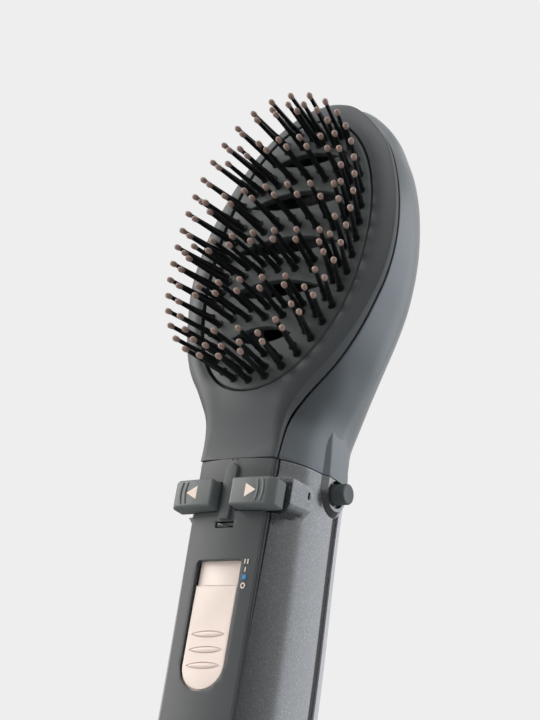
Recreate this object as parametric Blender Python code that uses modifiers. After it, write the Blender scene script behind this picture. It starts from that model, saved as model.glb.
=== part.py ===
"""Hot air styling brush: a paddle head with ball-tipped pins on a motor handle.

Run with: blender --background --python part.py

Units are metres and +Z points up the handle, from the end cap to the head.
The pins point towards -Y. Z = 0 is the underside of the end cap, and X = 0
is the plane that the left and right halves share. The head leans back from
the joint plane, so its pieces are built in a frame of their own, an empty
that is turned about X a little below the joint.

Layout, from the bottom: end cap with the cord swivel, intake grille with its
filter, fan and motor in a duct, ion generator, heater, outlet barrel with the
drive hub, and the head that plugs over the barrel.
"""

import math

import bmesh
import bpy
from mathutils import Matrix, Vector

# Clearances
fit_gap = 0.0003
overrun = 0.004
glue_depth = 0.0005

# Handle outline
joint_height = 0.212
handle_squareness = 2.4
handle_top_half_width = 0.0197
handle_top_half_depth = 0.0205
handle_top_shift = -0.0011
waist_drop = 0.073
waist_half_width = 0.0202
waist_half_depth = 0.0218
waist_shift = 0.0012
handle_end_half_width = 0.0220
handle_end_half_depth = 0.0232
handle_end_shift = 0.0003
handle_wall = 0.0022
handle_sides = 34
seam_behind_centre = 0.0062
seam_strip_width = 0.0033
seam_strip_sink = 0.0005

# Front panel
panel_top_half_width = 0.0129
panel_waist_half_width = 0.0124
panel_end_half_width = 0.0118
panel_sink = 0.0005
panel_crown_radius = 0.065
panel_edge_round = 0.0007
panel_back = 0.0180
panel_floor_thickness = 0.0031
panel_side_gap = 0.0004

# Web and ion indicator window
web_half_width = 0.0021
web_height = 0.0010
web_top_drop = 0.0016
ion_window_drop = 0.0196
ion_window_width = 0.0068
ion_window_height = 0.0019
ion_frame = 0.0007
ion_lens_sink = 0.0003
ion_lens_depth = 0.0030

# Direction buttons
button_inner_x = 0.0032
button_corner_x = 0.0154
button_outer_x = 0.0173
button_face = 0.0253
button_corner_face = 0.0249
button_shoulder_face = 0.0232
button_skirt_face = 0.0185
button_top_drop = 0.0072
button_height = 0.0082
button_wall = 0.0014
button_edge_round = 0.0006
button_travel = 0.0015
button_stem_radius = 0.0014
button_stem_x = 0.0080
button_stem_end = 0.0164
button_rib_height = 0.0004
button_rib_half_width = 0.00045
button_rib_pitch = 0.0017
button_rib_inset = 0.0022
tact_switch_size = 0.0060
tact_switch_depth = 0.0022
tact_switch_face = 0.0146

# Cheeks beside the buttons
cheek_top_drop = 0.0047
cheek_face_top_drop = 0.0054
cheek_face_bottom_drop = 0.0123
cheek_bottom_drop = 0.0172
cheek_proud = 0.0013
cheek_front = 0.0187
cheek_rear = 0.0098
cheek_root_x = 0.0125
cheek_notch_face = 0.0166
cheek_slot_width = 0.0007
cheek_slot_height = 0.0022
cheek_slot_depth = 0.0005

# Power slider
slider_window_top_drop = 0.0306
slider_window_length = 0.0368
slider_window_half_width = 0.0075
slider_thumb_top_drop = 0.0374
slider_thumb_proud = 0.0002
slider_step_depth = 0.0015
slider_carrier_margin = 0.0008
slider_travel = 0.0065
slider_rib_first_drop = 0.0512
slider_rib_pitch = 0.00443
slider_rib_half_length = 0.0053
slider_rib_half_height = 0.0009
slider_rib_proud = 0.0007
slider_post_width = 0.0050
slider_post_height = 0.0030
slider_post_drop = 0.0500
slider_post_end = 0.0136
switch_width = 0.0100
switch_height = 0.0160
switch_depth = 0.0022
switch_slot_depth = 0.0010

# Release buttons
boss_centre_y = 0.0012
boss_proud = 0.0013
boss_face_x = handle_top_half_width + boss_proud
boss_foot_step = 0.0020
boss_foot_x = boss_face_x - boss_foot_step
boss_depth = 0.0060
boss_root_x = boss_face_x - boss_depth
boss_half_width = 0.0049
boss_foot_margin = 0.0024
boss_tip_drop = 0.0112
peg_drop = 0.0037
peg_radius = 0.0030
peg_proud = 0.0040
peg_recess_radius = 0.0040
peg_recess_depth = 0.0016
peg_flange_radius = 0.0036
peg_flange_depth = 0.0009
peg_flange_inset = 0.0039
peg_flange_x = handle_top_half_width - peg_flange_inset
peg_travel = 0.0020
peg_edge_round = 0.0004
spring_wire_radius = 0.00022
spring_sides = 8

# Outlet barrel
barrel_centre_y = 0.0012
barrel_inset = 0.0057
barrel_radius = handle_top_half_width - barrel_inset
barrel_root_step = 0.0020
barrel_root_radius = barrel_radius - barrel_root_step
barrel_wall = 0.0012
barrel_rise = 0.0200
barrel_root_drop = 0.0300
barrel_step_rise = 0.0006
barrel_flange_width = 0.0016
barrel_flange_radius = barrel_root_radius + barrel_flange_width
barrel_flange_depth = 0.0015
barrel_catch_width = 0.0050
barrel_catch_height = 0.0026
barrel_catch_rise = 0.0080
gearmotor_radius = 0.0052
gearmotor_length = 0.0200
gearmotor_top_rise = 0.0040
strut_thickness = 0.0012
strut_length = 0.0100
hub_radius = 0.0040
hub_length = 0.0100
hub_shaft_radius = 0.0012
hub_spline_count = 6
hub_spline_depth = 0.0009
hub_spline_width = 0.0012
emitter_radius = 0.0012
emitter_length = 0.0190
emitter_top_rise = 0.0150

# Heater
heater_centre_y = 0.0026
heater_radius = 0.0137
heater_wall = 0.0007
heater_stand = 0.0025
heater_frame_thickness = 0.0008
heater_coil_radius = 0.0105
heater_wire_radius = 0.0005
heater_turns = 7
heater_turn_points = 9
heater_coil_margin = 0.0060
thermostat_width = 0.0070
thermostat_height = 0.0060
thermostat_depth = 0.0030

# Fan
duct_rise = 0.0160
duct_length = 0.0480
duct_radius = 0.0170
duct_wall = 0.0012
fan_centre_y = 0.0026
motor_radius = 0.0110
motor_length = 0.0240
motor_lift = 0.0020
motor_cup_wall = 0.0012
vane_count = 5
vane_thickness = 0.0012
rotor_hub_radius = 0.0080
rotor_height = 0.0100
rotor_lift = 0.0020
rotor_tip_radius = 0.0152
rotor_blade_count = 7
rotor_blade_thickness = 0.0010
rotor_blade_pitch = math.radians(38)
motor_shaft_radius = 0.0010
motor_shaft_length = 0.0060

# Electronics
board_width = 0.0230
board_thickness = 0.0014
board_overlap = 0.0100
board_top_drop = 0.0060
board_face = 0.0121
generator_width = 0.0120
generator_depth = 0.0080
generator_height = 0.0110
generator_stand = 0.0025
generator_y = 0.0161

# End cap, grille, swivel
cap_height = 0.0100
cap_foot_share = 0.62
cap_height_shares = (0.0, 0.06, 0.18, 0.36, 0.62)
grille_height = 0.0280
grille_wall = 0.0020
grille_slot_count = 20
grille_slot_width = 0.0022
grille_slot_margin = 0.0030
filter_wall = 0.0008
cap_floor = 0.0028
swivel_radius = 0.0065
swivel_flange_radius = 0.0085
swivel_flange_height = 0.0016
swivel_height = 0.0100
swivel_bore_radius = 0.0032
swivel_sink = 0.0004

# The head
head_tilt = math.radians(7.6)
head_pivot_below_joint = 0.0026
head_length = 0.1252
head_half_width = 0.0333
head_seam_front = 0.0186
head_front_depth = 0.0072
head_front_squareness = 2.45
head_back_depth = 0.0192
head_rear_half_width = 0.0336
head_rear_centre = 0.0110
head_rear_squareness = 2.5
head_rear_lift = 0.0016
head_wall = 0.0020
head_seam_gap = 0.0008
head_stations = 19
head_front_points = 13
head_rear_points = 19
socket_wall = 0.0014
socket_rise = 0.0210
socket_flange_width = 0.0018
socket_flange_depth = 0.0020
ridge_rise = 0.0260
baffle_thickness = 0.0012
baffle_bottom_rise = 0.0300
baffle_length = 0.0700
baffle_half_width = 0.0200
baffle_rib_front = 0.0030
baffle_rib_back = 0.0106
baffle_rib_height = 0.0080

# Shares along the head, from its pivot to its top, chosen by eye.
width_shares = (
    (0.0, 0.377), (0.07, 0.388), (0.11, 0.408), (0.145, 0.462), (0.187, 0.54),
    (0.243, 0.682), (0.294, 0.793), (0.36, 0.898), (0.437, 0.979), (0.52, 1.0),
    (0.62, 0.976), (0.68, 0.934), (0.743, 0.871), (0.80, 0.778), (0.86, 0.652),
    (0.917, 0.48), (0.96, 0.325), (0.99, 0.17), (1.0, 0.06),
)
front_depth_shares = (
    (0.0, 0.20), (0.03, 0.24), (0.08, 0.42), (0.13, 0.68), (0.18, 0.88),
    (0.25, 0.97), (0.5, 1.0), (0.75, 0.98), (0.88, 0.92), (0.94, 0.78),
    (0.98, 0.5), (1.0, 0.2),
)
seam_shares = (
    (0.0, 1.05), (0.1, 1.05), (0.3, 1.01), (0.5, 1.0), (0.7, 1.0),
    (0.85, 1.0), (1.0, 1.02),
)
rear_width_shares = (
    (0.0, 0.59), (0.05, 0.583), (0.1, 0.575), (0.145, 0.60), (0.2, 0.67),
    (0.263, 0.77), (0.335, 0.89), (0.43, 0.98), (0.52, 1.0), (0.62, 0.985),
    (0.68, 0.95), (0.743, 0.90), (0.80, 0.825), (0.86, 0.72), (0.917, 0.58),
    (0.96, 0.44), (0.99, 0.31), (1.0, 0.21),
)
back_shares = (
    (0.0, 1.0), (0.1, 0.948), (0.2, 0.896), (0.335, 0.76), (0.5, 0.70),
    (0.65, 0.66), (0.75, 0.59), (0.85, 0.44), (0.92, 0.24), (0.97, -0.02),
    (1.0, -0.36),
)
rear_centre_shares = (
    (0.0, 0.11), (0.1, 0.14), (0.2, 0.45), (0.335, 0.82), (0.5, 1.0),
    (0.7, 1.05), (0.85, 1.10), (0.95, 1.15), (1.0, 1.2),
)
front_square_shares = (
    (0.0, 1.8), (0.15, 1.8), (0.25, 1.5), (0.4, 1.1), (0.6, 1.0), (1.0, 1.0),
)

# Pad, vents, pins
pad_top_margin = 0.0097
pad_bottom_rise = 0.0205
pad_side_margin = 0.0068
pad_half_length = (head_length - pad_top_margin - pad_bottom_rise) / 2
pad_half_width = head_half_width - pad_side_margin
pad_squareness = 2.107
pad_centre_rise = pad_bottom_rise + pad_half_length
pad_front = 0.0249
pad_crown_radius = 0.1245
pad_layer = 0.0009
pad_base_thickness = 0.0018
pad_side_gap = 0.0004
pad_ledge = 0.0022
pad_stations = 16
pad_across = 6
vent_points = 7
# The vents as shares of the pad's half length and half width, from the top,
# and their half heights as shares of the tallest.
vent_half_height = 0.0031
vent_height_shares = (0.701, 0.387, 0.044, -0.282, -0.617)
vent_length_shares = (0.442, 0.694, 0.732, 0.645, 0.419)
vent_opening_shares = (0.77, 1.0, 0.97, 0.97, 0.94)
split_width = 0.0003
split_reach = 0.0075
pin_ring_count = 38
pin_ring_inset = 0.00285
pin_ring_step = 0.00265
pin_length = 0.01585
pin_fan_radius = 0.0587
pin_fan_height = 0.5240
pin_sides = 4
pin_foot_radius = 0.00105
pin_neck_radius = 0.00055
pin_neck_drop = 0.00075
pin_ball_radius = 0.00098
# Inner rows: height above the pad's centre as a share of its half length,
# pitch and sag of the ends as shares of the values below, and pins in a row.
row_pitch = 0.0060
row_sag = 0.0020
row_height_shares = (0.808, 0.602, 0.539, 0.2505, 0.183,
                     -0.082, -0.141, -0.4126, -0.4905, -0.756)
row_pitch_shares = (1.0, 0.95, 0.933, 1.0, 1.033,
                    0.967, 1.0, 0.983, 1.0, 1.067)
row_sag_shares = (0.0, 0.2, 1.0, 0.4, 0.9, 0.3, 0.9, 0.0, -0.4, 0.0)
row_counts = (2, 5, 6, 7, 6, 7, 7, 5, 5, 2)


# Scene set-up
def clear_scene():
    """Removes what the start-up file holds."""
    for obj in list(bpy.data.objects):
        bpy.data.objects.remove(obj, do_unlink=True)
    for coll in list(bpy.data.collections):
        bpy.data.collections.remove(coll)


def make_collection(name):
    """A collection linked to the scene."""
    coll = bpy.data.collections.new(name)
    bpy.context.scene.collection.children.link(coll)
    return coll


clear_scene()
parts = make_collection("hot_air_brush")
cutters = make_collection("cutters")
cutters.hide_render = True


def make_material(name, colour, roughness, metallic=0.0):
    """A Principled material in the part's own colour."""
    mat = bpy.data.materials.new(name)
    mat.use_nodes = True
    shader = mat.node_tree.nodes["Principled BSDF"]
    shader.inputs["Base Color"].default_value = (*colour, 1.0)
    shader.inputs["Roughness"].default_value = roughness
    shader.inputs["Metallic"].default_value = metallic
    mat.diffuse_color = (*colour, 1.0)
    mat.roughness = roughness
    mat.metallic = metallic
    return mat


# Mesh helpers
def add_object(name, mesh, coll=None):
    """Links a new object and returns it."""
    obj = bpy.data.objects.new(name, mesh)
    (coll or cutters).objects.link(obj)
    if coll is None:
        obj.hide_render = True
        obj.display_type = "WIRE"
    return obj


def finish_mesh(name, bm, coll=None):
    """Turns a bmesh into an object with its faces pointing out."""
    bmesh.ops.recalc_face_normals(bm, faces=bm.faces)
    mesh = bpy.data.meshes.new(name)
    bm.to_mesh(mesh)
    bm.free()
    return add_object(name, mesh, coll)


def add_loft(bm, rings):
    """Joins equal rings of points into one closed body."""
    rows = [[bm.verts.new(point) for point in ring] for ring in rings]
    count = len(rows[0])
    for low, high in zip(rows, rows[1:]):
        for i in range(count):
            j = (i + 1) % count
            bm.faces.new((low[i], low[j], high[j], high[i]))
    bm.faces.new(list(reversed(rows[0])))
    bm.faces.new(rows[-1])


def loft(name, rings, coll=None, split=False):
    """A closed body through equal rings of points."""
    bm = bmesh.new()
    add_loft(bm, rings)
    if split:
        bent = [face for face in bm.faces if len(face.verts) == 4]
        bmesh.ops.triangulate(bm, faces=bent)
    return finish_mesh(name, bm, coll)


def prism_x(name, outline, x0, x1, coll=None):
    """An outline of (y, z) points, extruded along X."""
    return loft(name, [[(x, y, z) for y, z in outline] for x in (x0, x1)], coll)


def prism_y(name, outline, y0, y1, coll=None):
    """An outline of (x, z) points, extruded along Y."""
    return loft(name, [[(x, y, z) for x, z in outline] for y in (y0, y1)], coll)


def prism_z(name, outline, z0, z1, coll=None):
    """An outline of (x, y) points, extruded along Z."""
    return loft(name, [[(x, y, z) for x, y in outline] for z in (z0, z1)], coll)


def box(name, low, high, coll=None):
    """A box between two corners, from a cube primitive."""
    bm = bmesh.new()
    bmesh.ops.create_cube(bm, size=1.0)
    low, high = Vector(low), Vector(high)
    middle = (low + high) / 2
    size = high - low
    for vert in bm.verts:
        vert.co = Vector(tuple(c * s for c, s in zip(vert.co, size))) + middle
    return finish_mesh(name, bm, coll)


def cylinder(name, radius, base, top, sides=24, coll=None, end_radius=None):
    """A cylinder or a cone primitive between two points."""
    base, top = Vector(base), Vector(top)
    axis = top - base
    bm = bmesh.new()
    bmesh.ops.create_cone(
        bm,
        cap_ends=True,
        segments=sides,
        radius1=radius,
        radius2=radius if end_radius is None else end_radius,
        depth=axis.length,
    )
    turn = Vector((0, 0, 1)).rotation_difference(axis).to_matrix().to_4x4()
    place = Matrix.Translation((base + top) / 2) @ turn
    bmesh.ops.transform(bm, matrix=place, verts=bm.verts)
    return finish_mesh(name, bm, coll)


def turned(name, profile, centre, sides=32, coll=None):
    """A profile of (radius, height) points turned about a vertical axis."""
    rings = []
    for i in range(sides):
        angle = 2 * math.pi * i / sides
        rings.append([
            (centre[0] + r * math.cos(angle), centre[1] + r * math.sin(angle), z)
            for r, z in profile
        ])
    bm = bmesh.new()
    rows = [[bm.verts.new(point) for point in ring] for ring in rings]
    count = len(profile)
    for i in range(sides):
        here, there = rows[i], rows[(i + 1) % sides]
        for k in range(count):
            m = (k + 1) % count
            bm.faces.new((here[k], there[k], there[m], here[m]))
    return finish_mesh(name, bm, coll)


def tube(name, outer, inner, z0, z1, centre, sides=32, coll=None):
    """An open tube round a vertical axis."""
    profile = [(outer, z0), (outer, z1), (inner, z1), (inner, z0)]
    return turned(name, profile, centre, sides, coll)


def boolean(obj, tool, operation="DIFFERENCE"):
    """Adds an exact Boolean modifier to an object."""
    mod = obj.modifiers.new(tool.name, "BOOLEAN")
    mod.operation = operation
    mod.solver = "EXACT"
    mod.object = tool
    return obj


def bevel(obj, width, segments=1, angle=math.radians(40)):
    """Rounds the sharp edges of an object."""
    mod = obj.modifiers.new("round", "BEVEL")
    mod.width = width
    mod.segments = segments
    mod.limit_method = "ANGLE"
    mod.angle_limit = angle
    mod.use_clamp_overlap = True
    return obj


def paint(obj, mat):
    """Gives an object its material, with round sides shaded smooth."""
    obj.data.materials.clear()
    obj.data.materials.append(mat)
    obj.data.shade_smooth()
    obj.data.set_sharp_from_angle(angle=math.radians(35))
    return obj


def mirrored(points):
    """The same outline on the other side of X = 0."""
    return [(-point[0], *point[1:]) for point in reversed(points)]


def along(shares, t):
    """Reads a table of (place, share) smoothly at place t."""
    t = min(max(t, shares[0][0]), shares[-1][0])
    for k in range(len(shares) - 1):
        if t <= shares[k + 1][0]:
            break
    (t0, v0), (t1, v1) = shares[k], shares[k + 1]
    before = shares[max(k - 1, 0)]
    after = shares[min(k + 2, len(shares) - 1)]
    slope0 = (v1 - before[1]) / (t1 - before[0])
    slope1 = (after[1] - v0) / (after[0] - t0)
    span = t1 - t0
    u = (t - t0) / span
    return (
        (2 * u**3 - 3 * u**2 + 1) * v0
        + (u**3 - 2 * u**2 + u) * slope0 * span
        + (3 * u**2 - 2 * u**3) * v1
        + (u**3 - u**2) * slope1 * span
    )


def ease(t):
    """A smooth step from 0 to 1."""
    t = min(max(t, 0.0), 1.0)
    return t * t * (3 - 2 * t)


def mix(a, b, t):
    """A value between a and b."""
    return a + (b - a) * t


# Handle outline
def handle_mix(z, top, waist, end):
    """A size of the handle at height z, from its three named values."""
    drop = joint_height - z
    if drop <= waist_drop:
        return mix(top, waist, ease(drop / waist_drop))
    return mix(waist, end, ease((drop - waist_drop) / (joint_height - waist_drop)))


def handle_section(z):
    """Half width, half depth and centre of the handle at height z."""
    return (
        handle_mix(z, handle_top_half_width, waist_half_width, handle_end_half_width),
        handle_mix(z, handle_top_half_depth, waist_half_depth, handle_end_half_depth),
        handle_mix(z, handle_top_shift, waist_shift, handle_end_shift),
    )


def panel_half_width(z):
    """Half width of the front panel at height z."""
    return handle_mix(
        z, panel_top_half_width, panel_waist_half_width, panel_end_half_width
    )


def panel_front(z, x=0.0):
    """Distance of the panel's face in front of the axis."""
    _, half_depth, shift = handle_section(z)
    return half_depth - shift - panel_sink - x * x / (2 * panel_crown_radius)


def casing_half_width(y, z, grow=0.0):
    """Half width of the casing's outside at (y, z)."""
    half_width, half_depth, shift = handle_section(z)
    reach = min(abs(y - shift) / (half_depth + grow), 1.0)
    return (half_width + grow) * (1 - reach**handle_squareness) ** (
        1 / handle_squareness
    )


def oval(half_width, front, back, centre_y, power, z, count):
    """A superellipse ring with its own depth in front and behind."""
    ring = []
    for i in range(count):
        angle = 2 * math.pi * (i + 0.5) / count
        c, s = math.cos(angle), math.sin(angle)
        x = half_width * math.copysign(abs(c) ** (2 / power), c)
        y = math.copysign(abs(s) ** (2 / power), s)
        ring.append((x, centre_y + y * (back if s > 0 else front), z))
    return ring


def handle_ring(z, grow=0.0, flat=None):
    """The handle's outline at height z, grown, and cut flat in front."""
    half_width, half_depth, shift = handle_section(z)
    ring = oval(
        half_width + grow, half_depth + grow, half_depth + grow, shift,
        handle_squareness, z, handle_sides,
    )
    if flat is not None:
        ring = [(x, max(y, -flat), z) for x, y, z in ring]
    return ring


def spread(low, high, count):
    """Evenly spaced values from low to high."""
    return [mix(low, high, i / (count - 1)) for i in range(count)]


casing_bottom = cap_height + grille_height
duct_bottom = casing_bottom + duct_rise
motor_bottom = duct_bottom + motor_lift
generator_bottom = duct_bottom + duct_length + generator_stand
heater_bottom = generator_bottom + generator_height + heater_stand
heater_top = joint_height - barrel_root_drop - 2 * fit_gap
heater_length = heater_top - heater_bottom
board_bottom = heater_bottom - board_overlap
panel_floor_front = panel_back - fit_gap
panel_floor_back = panel_back - panel_floor_thickness
handle_heights = spread(casing_bottom + fit_gap, joint_height, 9)


def seam_centre(z):
    """Where the side seam runs at height z."""
    return handle_section(z)[2] + seam_behind_centre


def handle_body(name, grow=0.0, coll=None):
    """The handle's outside as one solid."""
    return loft(name, [handle_ring(z, grow) for z in handle_heights], coll)


def handle_hollow(name):
    """The space inside the casing, flat behind the panel's floor."""
    heights = [handle_heights[0] - overrun, *handle_heights[1:-1]]
    heights.append(joint_height + overrun)
    return loft(
        name, [handle_ring(z, -handle_wall, panel_floor_back) for z in heights]
    )


def seam_slab(name, low_side, high_side):
    """A slab across the handle between two offsets from the seam."""
    reach = 2 * handle_end_half_width
    rings = []
    for z in spread(-overrun, joint_height + overrun, 14):
        y = seam_centre(z)
        low = -2 * handle_end_half_depth if low_side is None else y + low_side
        high = 2 * handle_end_half_depth if high_side is None else y + high_side
        rings.append([
            (-reach, low, z), (reach, low, z), (reach, high, z), (-reach, high, z)
        ])
    return loft(name, rings)


# Materials
pearl_grey = make_material("pearl_grey_plastic", (0.16, 0.165, 0.17), 0.32, 0.35)
matte_grey = make_material("matte_grey_plastic", (0.095, 0.105, 0.11), 0.55)
shell_grey = make_material("shell_grey_plastic", (0.075, 0.082, 0.088), 0.5)
rear_grey = make_material("rear_shell_plastic", (0.13, 0.145, 0.16), 0.35, 0.15)
pale_grey = make_material("pale_rear_plastic", (0.34, 0.35, 0.38), 0.3, 0.3)
dark_trim = make_material("dark_trim_rubber", (0.045, 0.045, 0.05), 0.5)
pad_green = make_material("pad_plastic", (0.06, 0.068, 0.068), 0.6)
pin_black = make_material("pin_nylon", (0.012, 0.013, 0.014), 0.4)
button_grey = make_material("button_plastic", (0.16, 0.17, 0.175), 0.45)
slider_rose = make_material("slider_plastic", (0.86, 0.74, 0.69), 0.4)
black_nylon = make_material("black_nylon", (0.03, 0.03, 0.03), 0.5)
heat_nylon = make_material("heat_proof_nylon", (0.05, 0.05, 0.055), 0.45)
steel = make_material("spring_steel", (0.6, 0.6, 0.62), 0.3, 1.0)
mica = make_material("mica_sheet", (0.55, 0.48, 0.36), 0.6)
nichrome = make_material("nichrome_wire", (0.45, 0.42, 0.4), 0.4, 1.0)
copper_board = make_material("board_laminate", (0.05, 0.18, 0.09), 0.5)
potting = make_material("potting_resin", (0.1, 0.1, 0.12), 0.4)
white_nylon = make_material("white_nylon", (0.75, 0.75, 0.72), 0.45)
clear_lens = make_material("clear_lens", (0.25, 0.3, 0.33), 0.15)
filter_mesh = make_material("filter_screen_steel", (0.35, 0.35, 0.36), 0.5, 0.8)


# Casing
def boss_outline(half_width, tip_drop, z_top, round_end):
    """The boss outline in (y, z): straight sides and a closed lower end."""
    centre_z = joint_height - peg_drop
    points = [(boss_centre_y + half_width, z_top)]
    for i in range(9):
        angle = math.pi * i / 8
        y = boss_centre_y + half_width * math.cos(angle)
        if round_end:
            z = centre_z - half_width * math.sin(angle)
        else:
            z = centre_z - (centre_z - joint_height + tip_drop) * (
                math.sin(angle) ** 1.3
            )
        points.append((y, z))
    points.append((boss_centre_y - half_width, z_top))
    return points


def boss_solid(name, side, grow=0.0):
    """The raised pad that carries a release button, on one side."""
    top = joint_height + (overrun if grow else 0.0)
    foot_width = boss_half_width + boss_foot_margin
    foot = boss_outline(foot_width + grow, boss_tip_drop + grow, top, False)
    face = boss_outline(boss_half_width + grow, 0.0, top, True)
    rings = []
    for x, outline in (
        (boss_root_x - (overrun if grow else 0.0), foot),
        (boss_foot_x + grow, foot),
        (boss_face_x + grow, face),
    ):
        rings.append([(side * x, y, z) for y, z in outline])
    return loft(name, rings)


def cheek_solid(name, side):
    """The swelling on the casing behind one end of a direction button."""
    rows = (
        (cheek_bottom_drop, 0.0),
        (cheek_face_bottom_drop, 1.0),
        (cheek_face_top_drop, 1.0),
        (cheek_top_drop, 0.0),
    )
    rings = []
    for drop, share in rows:
        z = joint_height - drop
        ring = [
            (side * cheek_root_x, -cheek_rear, z),
            (side * cheek_root_x, -cheek_front + cheek_proud, z),
        ]
        for i in range(7):
            y = -mix(cheek_front - cheek_proud, cheek_rear, i / 6)
            fade = math.sqrt(max(1 - (i / 6) ** 4, 0.0))
            x = casing_half_width(y, z) + cheek_proud * share * fade
            ring.append((side * (x - (1 - share) * fit_gap), y, z))
        rings.append(ring)
    return loft(name, rings)


def button_notch(name, side, grow):
    """Room for one direction button and its press."""
    low = joint_height - button_top_drop - button_height - grow
    high = joint_height - button_top_drop + grow
    x0 = button_inner_x - grow
    x1 = button_outer_x + overrun
    xs = (side * x0, side * x1)
    return box(
        name,
        (min(xs), -button_face - overrun, low),
        (max(xs), -cheek_notch_face, high),
    )


def make_casings():
    """The front casing with its floor, bosses and cheeks, and the rear one."""
    hollow = handle_hollow("hollow_cut")
    front = handle_body("front_casing", coll=parts)
    rear = handle_body("rear_casing", coll=parts)
    half_strip = seam_strip_width / 2
    boolean(front, seam_slab("rear_half_cut", -half_strip, None))
    for side, label in ((1, "right"), (-1, "left")):
        boolean(front, boss_solid(f"boss_{label}", side), "UNION")
        boolean(front, cheek_solid(f"cheek_{label}", side), "UNION")
    boolean(front, hollow)
    panel_cut = loft("panel_cut", [
        [
            (-panel_half_width(z) - panel_side_gap, -2 * handle_end_half_depth, z),
            (panel_half_width(z) + panel_side_gap, -2 * handle_end_half_depth, z),
            (panel_half_width(z) + panel_side_gap, -panel_floor_front, z),
            (-panel_half_width(z) - panel_side_gap, -panel_floor_front, z),
        ]
        for z in spread(-overrun, joint_height + overrun, 14)
    ])
    boolean(front, panel_cut)
    for side, label in ((1, "right"), (-1, "left")):
        boolean(front, button_notch(f"notch_{label}", side, fit_gap))
        stem_z = joint_height - button_top_drop - button_height / 2
        boolean(front, cylinder(
            f"stem_hole_{label}", button_stem_radius + fit_gap,
            (side * button_stem_x, -panel_floor_front - overrun, stem_z),
            (side * button_stem_x, -panel_floor_back + overrun, stem_z), 12,
        ))
        peg_z = joint_height - peg_drop
        boolean(front, cylinder(
            f"peg_recess_{label}", peg_recess_radius,
            (side * (boss_face_x - peg_recess_depth), boss_centre_y, peg_z),
            (side * (boss_face_x + overrun), boss_centre_y, peg_z), 24,
        ))
        boolean(front, cylinder(
            f"peg_hole_{label}", peg_radius + fit_gap,
            (side * boss_root_x, boss_centre_y, peg_z),
            (side * (boss_face_x + overrun), boss_centre_y, peg_z), 20,
        ))
        slot_z = joint_height - (cheek_face_top_drop + cheek_face_bottom_drop) / 2
        slot_y = -cheek_rear - cheek_proud
        slot_x = casing_half_width(slot_y, slot_z) + cheek_proud - cheek_slot_depth
        xs = (side * slot_x, side * (slot_x + overrun))
        boolean(front, box(
            f"cheek_slot_{label}",
            (min(xs), slot_y - cheek_slot_width / 2, slot_z - cheek_slot_height / 2),
            (max(xs), slot_y + cheek_slot_width / 2, slot_z + cheek_slot_height / 2),
        ))
    post_low = joint_height - slider_post_drop - slider_post_height / 2 - fit_gap
    post_half = slider_post_width / 2 + fit_gap
    boolean(front, box(
        "post_slot",
        (-post_half, -panel_back - overrun, post_low),
        (post_half, -panel_floor_back + overrun,
         post_low + slider_post_height + slider_travel + 2 * fit_gap),
    ))
    lens_half = ion_window_width / 2 - ion_frame + fit_gap
    lens_z = joint_height - ion_window_drop
    boolean(front, box(
        "lens_hole",
        (-lens_half, -panel_back, lens_z - ion_window_height / 2),
        (lens_half, -panel_floor_back + overrun, lens_z + ion_window_height / 2),
    ))
    top_cut = box(
        "joint_cut",
        (-2 * handle_end_half_width, -2 * handle_end_half_depth, joint_height),
        (2 * handle_end_half_width, 2 * handle_end_half_depth,
         joint_height + 2 * overrun),
    )
    boolean(front, top_cut)

    boolean(rear, seam_slab("front_half_cut", None, half_strip))
    boolean(rear, hollow)
    for side, label in ((1, "right"), (-1, "left")):
        boolean(rear, boss_solid(f"boss_room_{label}", side, fit_gap))

    strips = []
    side_cut = 2 * handle_end_half_width
    for side, label in ((1, "right"), (-1, "left")):
        strip = handle_body(f"seam_strip_{label}", -seam_strip_sink, parts)
        boolean(strip, seam_slab(
            f"strip_band_{label}", -half_strip + fit_gap, half_strip - fit_gap,
        ), "INTERSECT")
        boolean(strip, hollow)
        xs = (0.0, -side * side_cut)
        boolean(strip, box(
            f"strip_side_{label}",
            (min(xs), -side_cut, -overrun), (max(xs), side_cut, 2 * joint_height),
        ))
        boolean(strip, bpy.data.objects[f"boss_room_{label}"])
        strips.append(strip)
    paint(front, pearl_grey)
    paint(rear, pale_grey)
    for strip in strips:
        paint(strip, dark_trim)


# Front panel
def slider_outline(half_width, top, bottom, steps=8):
    """A slot outline in (x, z): square on top, round below."""
    centre = bottom + half_width
    points = [(half_width, top), (-half_width, top)]
    for i in range(steps + 1):
        angle = math.pi + math.pi * i / steps
        points.append((
            half_width * math.cos(angle), centre + half_width * math.sin(angle)
        ))
    return points


def slider_carrier_bottom():
    """The carrier's lower end, low enough to fill the window at full travel."""
    return (
        joint_height - slider_window_top_drop - slider_window_length
        - slider_travel - slider_carrier_margin
    )


def slider_carrier_face():
    """How far in front of the axis the carrier's face lies."""
    middle = joint_height - slider_window_top_drop - slider_window_length / 2
    return panel_front(middle) - slider_step_depth


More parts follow.
